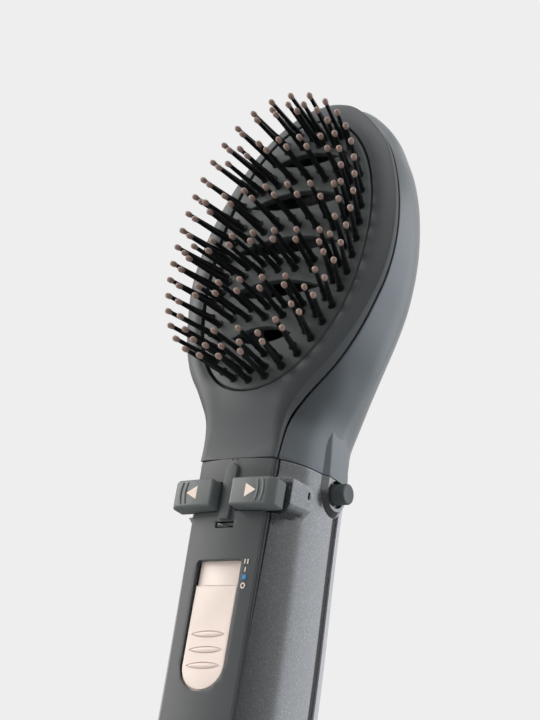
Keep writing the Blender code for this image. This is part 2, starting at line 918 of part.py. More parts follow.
def make_panel():
    """The matte front panel with its windows, and the ion lens."""
    rings = []
    low = casing_bottom + fit_gap
    for z in spread(low, joint_height, 9):
        half = panel_half_width(z)
        ring = []
        for i in range(9):
            x = (half - panel_edge_round) * (2 * i / 8 - 1)
            ring.append((x, -panel_front(z, x), z))
        ring.append((half, -panel_front(z, half) + panel_edge_round, z))
        ring.append((half, -panel_back, z))
        ring.append((-half, -panel_back, z))
        ring.append((-half, -panel_front(z, half) + panel_edge_round, z))
        rings.append(ring)
    panel = loft("front_panel", rings, parts)

    web_top = joint_height - web_top_drop
    lens_z = joint_height - ion_window_drop
    frame_low = lens_z - ion_window_height / 2 - ion_frame
    frame_high = lens_z + ion_window_height / 2 + ion_frame
    web_outline = [(-web_half_width, frame_high), (web_half_width, frame_high)]
    for i in range(7):
        angle = math.pi * i / 6
        web_outline.append((
            web_half_width * math.cos(angle),
            web_top - web_half_width + web_half_width * math.sin(angle),
        ))
    face = panel_front(web_top) + web_height
    boolean(panel, prism_y(
        "web", web_outline, -face, -panel_back - panel_edge_round), "UNION")
    frame_half = ion_window_width / 2 + ion_frame / 2
    boolean(panel, box(
        "lens_frame",
        (-frame_half, -face, frame_low),
        (frame_half, -panel_back - panel_edge_round, frame_high + glue_depth),
    ), "UNION")
    for side, label in ((1, "right"), (-1, "left")):
        boolean(panel, bpy.data.objects[f"notch_{label}"])
    window = slider_outline(
        slider_window_half_width,
        joint_height - slider_window_top_drop,
        joint_height - slider_window_top_drop - slider_window_length,
    )
    boolean(panel, prism_y(
        "slider_window", window, -2 * handle_end_half_depth, -panel_back + overrun))
    pocket_half = slider_window_half_width + slider_carrier_margin + fit_gap
    boolean(panel, box(
        "carrier_pocket",
        (-pocket_half, -slider_carrier_face() - fit_gap,
         slider_carrier_bottom() - fit_gap),
        (pocket_half, -panel_back + overrun,
         joint_height - slider_window_top_drop + slider_travel
         + slider_carrier_margin + fit_gap),
    ))
    lens_half = ion_window_width / 2 - ion_frame
    lens_low = lens_z - ion_window_height / 2 + ion_frame / 2
    lens_high = lens_z + ion_window_height / 2 - ion_frame / 2
    boolean(panel, box(
        "lens_window",
        (-lens_half, -2 * handle_end_half_depth, lens_low),
        (lens_half, -panel_back + overrun, lens_high),
    ))
    paint(panel, matte_grey)

    lens = box(
        "ion_window",
        (-lens_half + fit_gap / 2, -face + ion_lens_sink, lens_low + fit_gap / 2),
        (lens_half - fit_gap / 2, -face + ion_lens_sink + ion_lens_depth,
         lens_high - fit_gap / 2),
        parts,
    )
    paint(lens, clear_lens)


# Power slider
def make_slider():
    """The thumb piece, its thin upper plate and carrier, and its switch."""
    top = joint_height - slider_window_top_drop
    bottom = top - slider_window_length
    thumb_top = joint_height - slider_thumb_top_drop
    half = slider_window_half_width - fit_gap
    carrier_face = slider_carrier_face()
    carrier_back = panel_back
    face = carrier_face + slider_step_depth + slider_thumb_proud
    slider = prism_y(
        "power_slider", slider_outline(half, thumb_top, bottom + fit_gap),
        -face, -carrier_back - glue_depth, parts,
    )
    bevel(slider, button_edge_round)
    wide = slider_window_half_width + slider_carrier_margin
    boolean(slider, box(
        "carrier",
        (-wide, -carrier_face, slider_carrier_bottom()),
        (wide, -carrier_back, top + slider_carrier_margin),
    ), "UNION")
    post_z = joint_height - slider_post_drop
    boolean(slider, box(
        "post",
        (-slider_post_width / 2, -carrier_back - glue_depth,
         post_z - slider_post_height / 2),
        (slider_post_width / 2, -slider_post_end, post_z + slider_post_height / 2),
    ), "UNION")
    for k in range(3):
        z = joint_height - slider_rib_first_drop - k * slider_rib_pitch
        outline = []
        for i in range(12):
            angle = 2 * math.pi * i / 12
            outline.append((
                slider_rib_half_length * math.cos(angle),
                z + slider_rib_half_height * math.sin(angle),
            ))
        rib = loft(f"thumb_rib_{k}", [
            [(x, -face + glue_depth, v) for x, v in outline],
            [(x * 0.9, -face - slider_rib_proud, z + (v - z) * 0.4)
             for x, v in outline],
        ])
        boolean(slider, rib, "UNION")
    paint(slider, slider_rose)

    rest = post_z - slider_post_height / 2
    middle = rest + (slider_post_height + slider_travel) / 2
    body = box(
        "slide_switch",
        (-switch_width / 2, -panel_floor_back + fit_gap,
         middle - switch_height / 2),
        (switch_width / 2, -panel_floor_back + fit_gap + switch_depth,
         middle + switch_height / 2),
        parts,
    )
    boolean(body, box(
        "switch_slot",
        (-slider_post_width / 2 - fit_gap, -panel_back, rest - fit_gap),
        (slider_post_width / 2 + fit_gap,
         -slider_post_end + switch_slot_depth,
         rest + slider_post_height + slider_travel + fit_gap),
    ))
    paint(body, black_nylon)


# Direction buttons
def coil_points(radius, length, turns, per_turn, start):
    """Points of a helix along +Z from a start point."""
    count = int(turns * per_turn)
    return [
        (
            start[0] + radius * math.cos(2 * math.pi * i / per_turn),
            start[1] + radius * math.sin(2 * math.pi * i / per_turn),
            start[2] + length * i / count,
        )
        for i in range(count + 1)
    ]


def wire(name, points, radius, resolution, coll):
    """A round wire through points, as a closed mesh."""
    curve = bpy.data.curves.new(name, "CURVE")
    curve.dimensions = "3D"
    spline = curve.splines.new("POLY")
    spline.points.add(len(points) - 1)
    for spot, point in zip(spline.points, points):
        spot.co = (*point, 1.0)
    curve.bevel_depth = radius
    curve.bevel_resolution = resolution
    curve.use_fill_caps = True
    obj = bpy.data.objects.new(name + "_curve", curve)
    bpy.context.scene.collection.objects.link(obj)
    bpy.context.view_layer.update()
    graph = bpy.context.evaluated_depsgraph_get()
    mesh = bpy.data.meshes.new_from_object(obj.evaluated_get(graph))
    bm = bmesh.new()
    bm.from_mesh(mesh)
    bmesh.ops.remove_doubles(bm, verts=bm.verts, dist=radius / 100)
    bpy.data.objects.remove(obj)
    bpy.data.meshes.remove(mesh)
    return finish_mesh(name, bm, coll)


def turn_points(points, direction, origin):
    """Moves points built along +Z so that they run along a direction."""
    turn = Vector((0, 0, 1)).rotation_difference(Vector(direction)).to_matrix()
    return [tuple(Vector(origin) + turn @ Vector(point)) for point in points]


def button_outline(side, inset=0.0):
    """The button's outline in (x, y), from its inner edge round to its skirt."""
    points = [
        (button_inner_x + inset, -button_skirt_face),
        (button_inner_x + inset, -button_face + inset),
        (mix(button_inner_x, button_corner_x, 1 / 2), -button_face + inset),
        (button_corner_x - inset, -button_corner_face + inset),
        (button_outer_x - inset, -button_shoulder_face + inset / 2),
        (button_outer_x - inset, -button_skirt_face),
    ]
    return [(side * x, y) for x, y in points]


def make_direction_button(side, label):
    """One direction button with its stem, spring and switch."""
    z1 = joint_height - button_top_drop
    z0 = z1 - button_height
    button = prism_z(f"direction_button_{label}", button_outline(side), z0, z1, parts)
    bevel(button, button_edge_round, 2)
    hollow = prism_z(
        f"button_hollow_{label}",
        [(x, y if y < -button_skirt_face else y + overrun)
         for x, y in button_outline(side, button_wall)],
        z0 + button_wall, z1 - button_wall,
    )
    boolean(button, hollow)
    stem_z = (z0 + z1) / 2
    stem_x = side * button_stem_x
    boolean(button, cylinder(
        f"button_stem_{label}", button_stem_radius,
        (stem_x, -button_face + button_wall / 2, stem_z),
        (stem_x, -button_stem_end, stem_z), 12,
    ), "UNION")
    for k in range(2):
        x = button_corner_x - button_rib_inset - k * button_rib_pitch
        rings = []
        for z in spread(z0 + button_wall, z1 - button_wall, 5):
            bow = button_rib_pitch / 2 * (
                1 - ((z - stem_z) / (button_height / 2)) ** 2
            )
            y = -mix(button_face, button_corner_face, k == 0)
            rings.append([
                (side * (x + bow - button_rib_half_width), y + glue_depth, z),
                (side * (x + bow + button_rib_half_width), y + glue_depth, z),
                (side * (x + bow), y - button_rib_height, z),
            ])
        boolean(button, loft(f"button_rib_{label}_{k}", rings), "UNION")
    paint(button, button_grey)

    spring_radius = button_stem_radius + 2 * spring_wire_radius + fit_gap
    start = -button_face + button_wall + spring_wire_radius + fit_gap
    length = -cheek_notch_face - start - spring_wire_radius - fit_gap
    points = turn_points(
        coil_points(spring_radius, length, 3, spring_sides, (0, 0, 0)),
        (0, 1, 0), (stem_x, start, stem_z),
    )
    paint(wire(f"direction_spring_{label}", points, spring_wire_radius, 0, parts),
          steel)

    half = tact_switch_size / 2
    switch = box(
        f"direction_switch_{label}",
        (stem_x - half, -tact_switch_face, stem_z - half),
        (stem_x + half, -tact_switch_face + tact_switch_depth, stem_z + half),
        parts,
    )
    bevel(switch, button_edge_round / 2)
    paint(switch, black_nylon)


# Release buttons
def make_release_button(side, label):
    """One release peg with its flange and spring."""
    z = joint_height - peg_drop
    top = side * (boss_face_x + peg_proud)
    root = side * peg_flange_x
    peg = cylinder(
        f"release_button_{label}", peg_radius,
        (root, boss_centre_y, z), (top, boss_centre_y, z), 20, parts,
    )
    bevel(peg, peg_edge_round)
    boolean(peg, cylinder(
        f"peg_flange_cutter_{label}", peg_flange_radius,
        (root - side * glue_depth / 2, boss_centre_y, z),
        (root + side * peg_flange_depth, boss_centre_y, z), 20,
    ), "UNION")
    paint(peg, black_nylon)
    radius = peg_radius - 2 * spring_wire_radius
    reach = barrel_room() - peg_travel - fit_gap
    points = turn_points(
        coil_points(radius, reach, 2, spring_sides, (0, 0, 0)),
        (-side, 0, 0),
        (root - side * (glue_depth / 2 + spring_wire_radius + fit_gap),
         boss_centre_y, z),
    )
    paint(wire(f"release_spring_{label}", points, spring_wire_radius, 0, parts), steel)


def barrel_room():
    """Space between the peg's flange and the barrel's root."""
    return (
        peg_flange_x - glue_depth / 2 - barrel_root_radius
        - 2 * spring_wire_radius - 2 * fit_gap
    )


# Outlet barrel
def make_barrel():
    """The outlet barrel, its drive unit and hub, and the ion emitter."""
    top = joint_height + barrel_rise
    step = joint_height + barrel_step_rise
    root = joint_height - barrel_root_drop
    centre = (0.0, barrel_centre_y)
    profile = [
        (barrel_flange_radius, root), (barrel_flange_radius,
                                       root + barrel_flange_depth),
        (barrel_root_radius, root + barrel_flange_depth),
        (barrel_root_radius, step - (barrel_radius - barrel_root_radius)),
        (barrel_radius, step), (barrel_radius, top - barrel_wall / 2),
        (barrel_radius - barrel_wall / 2, top),
        (barrel_radius - barrel_wall, top),
        (barrel_radius - barrel_wall, step),
        (barrel_root_radius - barrel_wall,
         step - (barrel_radius - barrel_root_radius)),
        (barrel_root_radius - barrel_wall, root),
    ]
    barrel = turned("outlet_barrel", profile, centre, 28, parts)
    for side, label in ((1, "right"), (-1, "left")):
        x0, x1 = barrel_radius - 2 * barrel_wall, barrel_radius + overrun
        xs = (side * x0, side * x1)
        low = joint_height + barrel_catch_rise
        boolean(barrel, box(
            f"catch_window_{label}",
            (min(xs), barrel_centre_y - barrel_catch_width / 2, low),
            (max(xs), barrel_centre_y + barrel_catch_width / 2,
             low + barrel_catch_height),
        ))
    paint(barrel, heat_nylon)

    unit_top = joint_height + gearmotor_top_rise
    unit_low = unit_top - gearmotor_length
    unit = cylinder(
        "drive_gearmotor", gearmotor_radius,
        (0, barrel_centre_y, unit_low), (0, barrel_centre_y, unit_top), 24, parts,
    )
    bevel(unit, peg_edge_round)
    strut_low = unit_low + strut_thickness
    reach = barrel_root_radius - barrel_wall - fit_gap
    for k in range(3):
        angle = math.pi / 2 + 2 * math.pi * k / 3
        strut = box(
            f"strut_{k}",
            (0, -strut_thickness / 2, 0),
            (reach, strut_thickness / 2, strut_length),
        )
        strut.rotation_euler.z = angle
        strut.location = (0, barrel_centre_y, strut_low)
        boolean(unit, strut, "UNION")
    shaft_top = unit_top + 2 * fit_gap
    paint(unit, steel)

    hub = cylinder(
        "drive_hub", hub_radius,
        (0, barrel_centre_y, shaft_top),
        (0, barrel_centre_y, shaft_top + hub_length), 24, parts,
        end_radius=hub_radius - hub_spline_depth,
    )
    for k in range(hub_spline_count):
        spline = box(
            f"hub_spline_{k}",
            (0, -hub_spline_width / 2, hub_length / 5),
            (hub_radius + hub_spline_depth, hub_spline_width / 2,
             hub_length * 4 / 5),
        )
        spline.rotation_euler.z = 2 * math.pi * k / hub_spline_count
        spline.location = (0, barrel_centre_y, shaft_top)
        boolean(hub, spline, "UNION")
    paint(hub, white_nylon)

    emitter_y = (
        barrel_centre_y - barrel_root_radius + barrel_wall + emitter_radius
        + fit_gap
    )
    emitter_top = joint_height + emitter_top_rise
    emitter = turned("ion_emitter", [
        (emitter_radius, emitter_top - emitter_length),
        (emitter_radius, emitter_top),
        (emitter_radius / 2, emitter_top),
        (emitter_radius / 2, emitter_top - emitter_length),
    ], (0.0, emitter_y), 12, parts)
    paint(emitter, white_nylon)


# Heater
def make_heater():
    """The insulating tube, the mica cross, the winding and its cut-out."""
    centre = (0.0, heater_centre_y)
    top = heater_top
    paint(tube("heater_tube", heater_radius, heater_radius - heater_wall,
               heater_bottom, top, centre, 32, parts), mica)
    inside = heater_coil_radius * math.cos(math.pi / heater_turn_points)
    half = inside - heater_wire_radius - fit_gap
    thick = heater_frame_thickness / 2
    low = heater_bottom + heater_wall
    high = top - heater_wall
    cross = box("heater_frame", (-half, heater_centre_y - thick, low),
                (half, heater_centre_y + thick, high), parts)
    boolean(cross, box("mica_leaf", (-thick, heater_centre_y - half, low),
                       (thick, heater_centre_y + half, high)), "UNION")
    wide = heater_radius - heater_wall - fit_gap
    foot = heater_coil_margin / 2
    for k, (z0, z1) in enumerate(((low, low + foot), (high - foot, high))):
        boolean(cross, box(f"mica_foot_{k}", (-wide, heater_centre_y - thick, z0),
                           (wide, heater_centre_y + thick, z1)), "UNION")
    paint(cross, mica)
    length = heater_length - 2 * heater_coil_margin
    points = coil_points(
        heater_coil_radius, length, heater_turns, heater_turn_points,
        (0.0, heater_centre_y, heater_bottom + heater_coil_margin),
    )
    coil = wire("heater_coil", points, heater_wire_radius, 1, parts)
    paint(coil, nichrome)
    step = length / heater_turns
    print(f"heater winding's least gap to itself: {step - 2 * heater_wire_radius:.5f} m")
    quarter = heater_frame_thickness / 2 + fit_gap
    box_low = heater_bottom + fit_gap
    cutout = box(
        "thermostat",
        (quarter, heater_centre_y + quarter, box_low),
        (quarter + thermostat_width / 2, heater_centre_y + quarter
         + thermostat_depth, box_low + thermostat_height),
        parts,
    )
    bevel(cutout, peg_edge_round)
    paint(cutout, steel)


# Fan
def make_fan():
    """The duct with its vanes and motor cup, the motor and the rotor."""
    centre = (0.0, fan_centre_y)
    duct_top = duct_bottom + duct_length
    duct = tube("fan_duct", duct_radius, duct_radius - duct_wall,
                duct_bottom, duct_top, centre, 36, parts)
    cup_inner = motor_radius + fit_gap
    cup_outer = cup_inner + motor_cup_wall
    cup_top = motor_bottom + motor_length
    cup = tube("motor_cup", cup_outer, cup_inner, motor_bottom, cup_top, centre, 28)
    for k in range(vane_count):
        vane = box(
            f"vane_{k}",
            (cup_inner + motor_cup_wall / 3, -vane_thickness / 2, 0),
            (duct_radius - duct_wall / 2, vane_thickness / 2, motor_length / 2),
        )
        vane.rotation_euler.z = 2 * math.pi * (k + 0.25) / vane_count
        vane.location = (0, fan_centre_y, motor_bottom + motor_length / 4)
        boolean(duct, vane, "UNION")
    boolean(duct, cup, "UNION")
    paint(duct, black_nylon)

    motor = cylinder("fan_motor", motor_radius, (*centre, motor_bottom),
                     (*centre, cup_top), 28, parts)
    bevel(motor, button_edge_round)
    boolean(motor, cylinder(
        "motor_shaft", motor_shaft_radius, (*centre, cup_top - glue_depth),
        (*centre, cup_top + motor_shaft_length), 12,
    ), "UNION")
    paint(motor, steel)

    low = cup_top + rotor_lift
    rotor = turned("fan_rotor", [
        (rotor_hub_radius, low), (rotor_hub_radius, low + rotor_height * 3 / 4),
        (rotor_hub_radius / 2, low + rotor_height),
        (motor_shaft_radius + fit_gap, low + rotor_height),
        (motor_shaft_radius + fit_gap, low),
    ], centre, 28, parts)
    for k in range(rotor_blade_count):
        bm = bmesh.new()
        bmesh.ops.create_cube(bm, size=1.0)
        for vert in bm.verts:
            x, y, z = vert.co
            vert.co = (
                mix(rotor_hub_radius * 3 / 4, rotor_tip_radius, x + 0.5),
                y * rotor_blade_thickness,
                z * rotor_height / math.cos(rotor_blade_pitch) * 2 / 3,
            )
        bmesh.ops.rotate(bm, cent=(0, 0, 0), verts=bm.verts,
                         matrix=Matrix.Rotation(rotor_blade_pitch, 3, "X"))
        blade = finish_mesh(f"blade_{k}", bm)
        blade.rotation_euler.z = 2 * math.pi * k / rotor_blade_count
        blade.location = (0, fan_centre_y, low + rotor_height * 3 / 8)
        boolean(rotor, blade, "UNION")
    paint(rotor, white_nylon)


# Electronics
def make_electronics():
    """The circuit board and the ion generator."""
    top = joint_height - barrel_root_drop - board_top_drop
    board = box(
        "circuit_board",
        (-board_width / 2, -board_face, board_bottom),
        (board_width / 2, -board_face + board_thickness / 2, top),
        parts,
    )
    paint(board, copper_board)
    half = generator_width / 2
    unit = box(
        "ion_generator",
        (-half, generator_y - generator_depth / 2, generator_bottom),
        (half, generator_y + generator_depth / 2,
         generator_bottom + generator_height),
        parts,
    )
    bevel(unit, button_edge_round)
    paint(unit, potting)


# End cap and grille
def cap_ring(z, grow=0.0):
    """The rounded lower end's outline at height z."""
    t = 1 - z / cap_height
    share = mix(1.0, cap_foot_share, 1 - math.sqrt(max(1 - t * t, 0.0)))
    half_width, half_depth, shift = handle_section(z)
    return oval(
        half_width * share + grow, half_depth * share + grow,
        half_depth * share + grow, shift, handle_squareness, z, handle_sides,
    )


def make_end():
    """The end cap, the intake grille, its screen and the cord swivel."""
    shift = handle_end_shift
    heights = [cap_height * share for share in cap_height_shares]
    heights.append(cap_height - fit_gap)
    cap = loft("end_cap", [cap_ring(z) for z in heights], parts)
    inner = [cap_ring(max(z, cap_floor), -grille_wall) for z in
             (cap_floor, cap_height / 2, cap_height)]
    inner.append([(x, y, cap_height + overrun) for x, y, _ in inner[-1]])
    boolean(cap, loft("cap_hollow", inner))
    boolean(cap, cylinder(
        "swivel_hole", swivel_radius + fit_gap, (0, shift, -overrun),
        (0, shift, cap_height), 28,
    ))
    paint(cap, matte_grey)

    grille_heights = spread(cap_height, casing_bottom, 3)
    grille = loft("intake_grille", [handle_ring(z) for z in grille_heights], parts)
    bore_heights = [cap_height - overrun, *grille_heights[1:-1],
                    casing_bottom + overrun]
    boolean(grille, loft("grille_bore", [
        handle_ring(z, -grille_wall) for z in bore_heights]))
    for k in range(grille_slot_count // 2):
        angle = math.pi * (k + 0.5) / (grille_slot_count // 2)
        slot = box(
            f"grille_slot_{k}",
            (-2 * handle_end_half_depth, -grille_slot_width / 2,
             cap_height + grille_slot_margin),
            (2 * handle_end_half_depth, grille_slot_width / 2,
             casing_bottom - grille_slot_margin),
        )
        slot.rotation_euler.z = angle
        slot.location = (0, shift, 0)
        boolean(grille, slot)
    paint(grille, matte_grey)

    screen = loft("filter_screen", [
        handle_ring(z, -grille_wall - fit_gap)
        for z in (cap_height + fit_gap, casing_bottom - fit_gap)
    ], parts)
    boolean(screen, loft("screen_bore", [
        handle_ring(z, -grille_wall - fit_gap - filter_wall)
        for z in (cap_height - overrun, casing_bottom + overrun)
    ]))
    paint(screen, filter_mesh)

    flange_low = cap_floor + fit_gap
    swivel = turned("cord_swivel", [
        (swivel_radius, swivel_sink), (swivel_radius, flange_low),
        (swivel_flange_radius, flange_low),
        (swivel_flange_radius, flange_low + swivel_flange_height),
        (swivel_radius * 3 / 4, swivel_height),
        (swivel_bore_radius, swivel_height), (swivel_bore_radius, swivel_sink),
    ], (0.0, shift), 28, parts)
    paint(swivel, black_nylon)


# The head
head_frame = bpy.data.objects.new("head_frame", None)
head_frame.location = (0, 0, joint_height - head_pivot_below_joint)
head_frame.rotation_euler.x = -head_tilt
head_frame.empty_display_size = head_half_width
parts.objects.link(head_frame)


def in_head(obj):
    """Hangs an object in the leaning frame of the head."""
    obj.parent = head_frame
    return obj


def head_heights():
    """Heights along the head, closer together at its two ends."""
    values = []
    for i in range(head_stations):
        t = i / (head_stations - 1)
        values.append(head_length * math.sin(math.pi / 2 * t) ** 1.15)
    return values


def head_width(z):
    """Half width of the head at its seam."""
    return head_half_width * along(width_shares, z / head_length)


def seam_front_y(z):
    """How far in front of the axis the head's seam runs."""
    return head_seam_front * along(seam_shares, z / head_length)


def front_shell_ring(z):
    """The front shell's section at height z, flat behind at the seam."""
    half = head_width(z)
    depth = head_front_depth * along(front_depth_shares, z / head_length)
    seam = seam_front_y(z)
    power = 2 / head_front_squareness / along(front_square_shares, z / head_length)
    ring = []
    for i in range(head_front_points):
        angle = math.pi * i / (head_front_points - 1)
        x = -half * math.copysign(abs(math.cos(angle)) ** power, math.cos(angle))
        bulge = math.sin(angle) ** power
        ring.append((x, -seam - depth * bulge, z))
    ring.append((half, -seam + head_seam_gap / 2, z))
    ring.append((-half, -seam + head_seam_gap / 2, z))
    return ring


def rear_section(z):
    """Half width, centre, front and back depth of the rear shell."""
    t = z / head_length
    half = max(head_rear_half_width * along(rear_width_shares, t), head_width(z))
    centre = -head_rear_centre * along(rear_centre_shares, t)
    back = head_back_depth * along(back_shares, t) - centre
    return half, centre, max(back, head_wall / 2)


def rear_shell_ring(z, wall=0.0, opening=0.0):
    """The rear shell's section, from the seam round the back."""
    z_read = min(max(z, 0.0), head_length)
    half, centre, back = rear_section(z_read)
    seam = -seam_front_y(z_read) + head_seam_gap
    edge = head_width(z_read)
    share = min(edge / half, 0.995)
    front = (centre - seam) / (1 - share**head_rear_squareness) ** (
        1 / head_rear_squareness
    )
    half = max(half - wall, head_wall / 4)
    back = max(back - wall, head_wall / 4)
    front = max(front - wall / 2, head_wall / 4)
    ring = []
    power = 2 / head_rear_squareness
    low = seam - opening
    for i in range(head_rear_points):
        angle = math.pi * i / (head_rear_points - 1)
        side = math.copysign(abs(math.cos(angle)) ** power, math.cos(angle))
        ring.append((half * side, centre + back * math.sin(angle) ** power, z))
    for k in range(1, 4):
        y = mix(centre, seam, k / 3)
        reach = min((centre - y) / front, 1.0)
        x = half * (1 - reach**head_rear_squareness) ** (1 / head_rear_squareness)
        x = max(x, head_wall / 4)
        ring.append((-x, y, z))
        ring.insert(0, (x, y, z))
    lift = head_rear_lift * (z_read / head_length) ** 3
    ring = [
        (x, y, z + lift * ease((y - seam) / (centre - seam))) for x, y, z in ring
    ]
    if opening:
        x = ring[0][0]
        ring.append((-x, low, z))
        ring.insert(0, (x, low, z))
    return ring


def pad_x(z, inset=0.0):
    """Half width of the pad at height z above its centre."""
    length = pad_half_length - inset
    share = min(abs(z) / length, 1.0)
    return (pad_half_width - inset) * (1 - share**pad_squareness) ** (
        1 / pad_squareness
    )


def pad_surface(x):
    """Y of the pad's crowned face."""
    return -pad_front + x * x / (2 * pad_crown_radius)


def pad_slab(name, inset, front, back, coll=None, straight=None):
    """A crowned slab with the pad's outline, between two depths."""
    rings = []
    length = pad_half_length - inset
    for j in range(pad_stations):
        angle = math.pi * j / (pad_stations - 1)
        z = -length * math.cos(angle)
        half = max(pad_x(z, inset), (pad_half_width - inset) * 0.05)
        ring = []
        for i in range(pad_across):
            x = half * (2 * i / (pad_across - 1) - 1)
            y = straight if straight is not None else pad_surface(x) + front
            ring.append((x, y, z + pad_centre_rise))
        for i in reversed(range(pad_across)):
            x = half * (2 * i / (pad_across - 1) - 1)
            ring.append((x, pad_surface(x) + back, z + pad_centre_rise))
        rings.append(ring)
    return loft(name, rings, coll, True)


def make_shells():
    """The front and rear shells of the head."""
    heights = head_heights()
    floor = box(
        "head_joint_cut",
        (-2 * head_half_width, -2 * head_half_width, joint_height - head_length / 4),
        (2 * head_half_width, 2 * head_half_width, joint_height + fit_gap),
    )
    front = in_head(loft("head_front_shell", [
        front_shell_ring(z) for z in heights], parts))
    boolean(front, floor)
    base_back = pad_layer + fit_gap + pad_base_thickness + fit_gap
    boolean(front, in_head(pad_slab(
        "pad_pocket", -pad_side_gap, 0.0, base_back, None,
        -2 * head_half_width)))
    boolean(front, in_head(pad_slab(
        "pad_opening", pad_ledge, 0.0, 2 * head_half_width, None,
        -2 * head_half_width)))
    paint(front, shell_grey)

    rear = in_head(loft("head_rear_shell", [
        rear_shell_ring(z) for z in heights], parts))
    face = boss_half_width
    foot = boss_half_width + boss_foot_margin
    for side, label in ((1, "right"), (-1, "left")):
        outline = [
            (side * boss_root_x, boss_centre_y - foot),
            (side * boss_foot_x, boss_centre_y - foot),
            (side * boss_face_x, boss_centre_y - face),
            (side * boss_face_x, boss_centre_y + face),
            (side * boss_foot_x, boss_centre_y + foot),
            (side * boss_root_x, boss_centre_y + foot),
        ]
        boolean(rear, prism_z(
            f"ridge_{label}", outline, joint_height, joint_height + ridge_rise,
        ), "UNION")
    boolean(rear, floor)
    inner_heights = [-overrun]
    inner_heights += [z for z in heights[::2] if z < head_length - 2 * head_wall]
    inner_heights.append(head_length - head_wall)
    boolean(rear, in_head(loft("rear_hollow", [
        rear_shell_ring(z, head_wall, overrun) for z in inner_heights])))
    paint(rear, rear_grey)

    socket_outer = barrel_radius + fit_gap + socket_wall
    low = joint_height + 2 * fit_gap
    socket_flange_radius = barrel_radius + socket_flange_width
    socket = turned("head_socket", [
        (socket_flange_radius, low),
        (socket_flange_radius, low + socket_flange_depth),
        (socket_outer, low + socket_flange_depth),
        (socket_outer, joint_height + socket_rise),
        (barrel_radius + fit_gap, joint_height + socket_rise),
        (barrel_radius + fit_gap, low),
    ], (0.0, barrel_centre_y), 28, parts)
    paint(socket, heat_nylon)


def pad_outline_point(t):
    """A point of the pad's outline and the outward normal at turn t."""
    angle = 2 * math.pi * t
    power = 2 / pad_squareness
    s, c = math.sin(angle), math.cos(angle)
    x = pad_half_width * math.copysign(abs(s) ** power, s)
    z = pad_half_length * math.copysign(abs(c) ** power, c)
    return Vector((x, z))


def outline_walk():
    """Turns and lengths along the pad's outline, from its top."""
    steps = 720
    lengths = [0.0]
    points = [pad_outline_point(i / steps) for i in range(steps + 1)]
    for a, b in zip(points, points[1:]):
        lengths.append(lengths[-1] + (b - a).length)
    return points, lengths


walk_points, walk_lengths = outline_walk()


def at_step(step):
    """The outline's point and outward normal at a pin step, from the top."""
    goal = (step / pin_ring_count % 1.0) * walk_lengths[-1]
    k = 0
    while k < len(walk_lengths) - 2 and walk_lengths[k + 1] < goal:
        k += 1
    span = walk_lengths[k + 1] - walk_lengths[k]
    u = (goal - walk_lengths[k]) / span
    a, b = walk_points[k], walk_points[k + 1]
    edge = (b - a).normalized()
    return a.lerp(b, u), Vector((-edge.y, edge.x))


def pin_places():
    """Places of all pins on the pad, as (x, z) from its centre."""
    places = []
    for k in range(pin_ring_count):
        point, normal = at_step(k)
        places.append(point - normal * pin_ring_inset)
        point, normal = at_step(k + 0.5)
        places.append(point - normal * (pin_ring_inset + pin_ring_step))
    for height_share, pitch_share, sag_share, count in zip(
        row_height_shares, row_pitch_shares, row_sag_shares, row_counts
    ):
        pitch = row_pitch * pitch_share
        reach = pitch * (count - 1) / 2
        for i in range(count):
            x = pitch * i - reach
            sag = row_sag * sag_share * (x / reach) ** 2
            places.append(Vector((x, pad_half_length * height_share - sag)))
    return places


def add_pin(bm, place):
    """One ball-tipped pin, standing on the pad's face and fanning out."""
    fan = place.x / pin_fan_radius
    lean = place.y / pin_fan_height
    direction = Vector((
        math.sin(fan) * math.cos(lean), -math.cos(fan) * math.cos(lean),
        math.sin(lean),
    ))
    base = Vector((place.x, pad_surface(place.x), place.y + pad_centre_rise))
    turn = Vector((0, 0, 1)).rotation_difference(direction).to_matrix()
    rings = []
    for height, radius in (
        (-pad_layer / 2, pin_foot_radius),
        (pin_length - pin_neck_drop, pin_neck_radius),
        (pin_length, pin_ball_radius),
    ):
        rings.append([
            bm.verts.new(base + turn @ Vector((
                radius * math.cos(2 * math.pi * i / pin_sides),
                radius * math.sin(2 * math.pi * i / pin_sides),
                height,
            )))
            for i in range(pin_sides)
        ])
    for low, high in zip(rings, rings[1:]):
        for i in range(pin_sides):
            j = (i + 1) % pin_sides
            bm.faces.new((low[i], low[j], high[j], high[i]))
    bm.faces.new(list(reversed(rings[0])))
    tip = bm.verts.new(base + direction * (pin_length + pin_ball_radius))
    for i in range(pin_sides):
        bm.faces.new((rings[-1][i], rings[-1][(i + 1) % pin_sides], tip))


def vent_place(index):
    """A vent's half length and its height above the pad's centre."""
    return (
        pad_half_width * vent_length_shares[index],
        pad_half_length * vent_height_shares[index],
    )


def vent_cutter(name, index):
    """A lens-shaped slot through the pad."""
    reach, height = vent_place(index)
    middle = pad_centre_rise + height
    opening = vent_half_height * vent_opening_shares[index]
    upper = []
    for i in range(vent_points):
        share = 2 * i / (vent_points - 1) - 1
        rise = max(opening * (1 - share**2), split_width / 4)
        upper.append((reach * share, rise))
    outline = [(x, middle + rise) for x, rise in upper]
    outline += [(x, middle - rise) for x, rise in reversed(upper)]
    return in_head(prism_y(name, outline, -2 * head_half_width, 0.0))


def split_path(index):
    """A path from a vent's tip out between two pins, on the +X side."""
    tip = Vector(vent_place(index))
    best = None
    for k in range(pin_ring_count // 2):
        for quarter in (0.25, 0.75):
            point, normal = at_step(k + quarter)
            inner = point - normal * split_reach
            distance = (inner - tip).length
            if best is None or distance < best[0]:
                best = (distance, inner, point + normal * overrun)
    start = tip - Vector((vent_half_height / 2, 0.0))
    if best[1].x < tip.x + vent_half_height / 2:
        return [start, best[2]]
    return [start, best[1], best[2]]


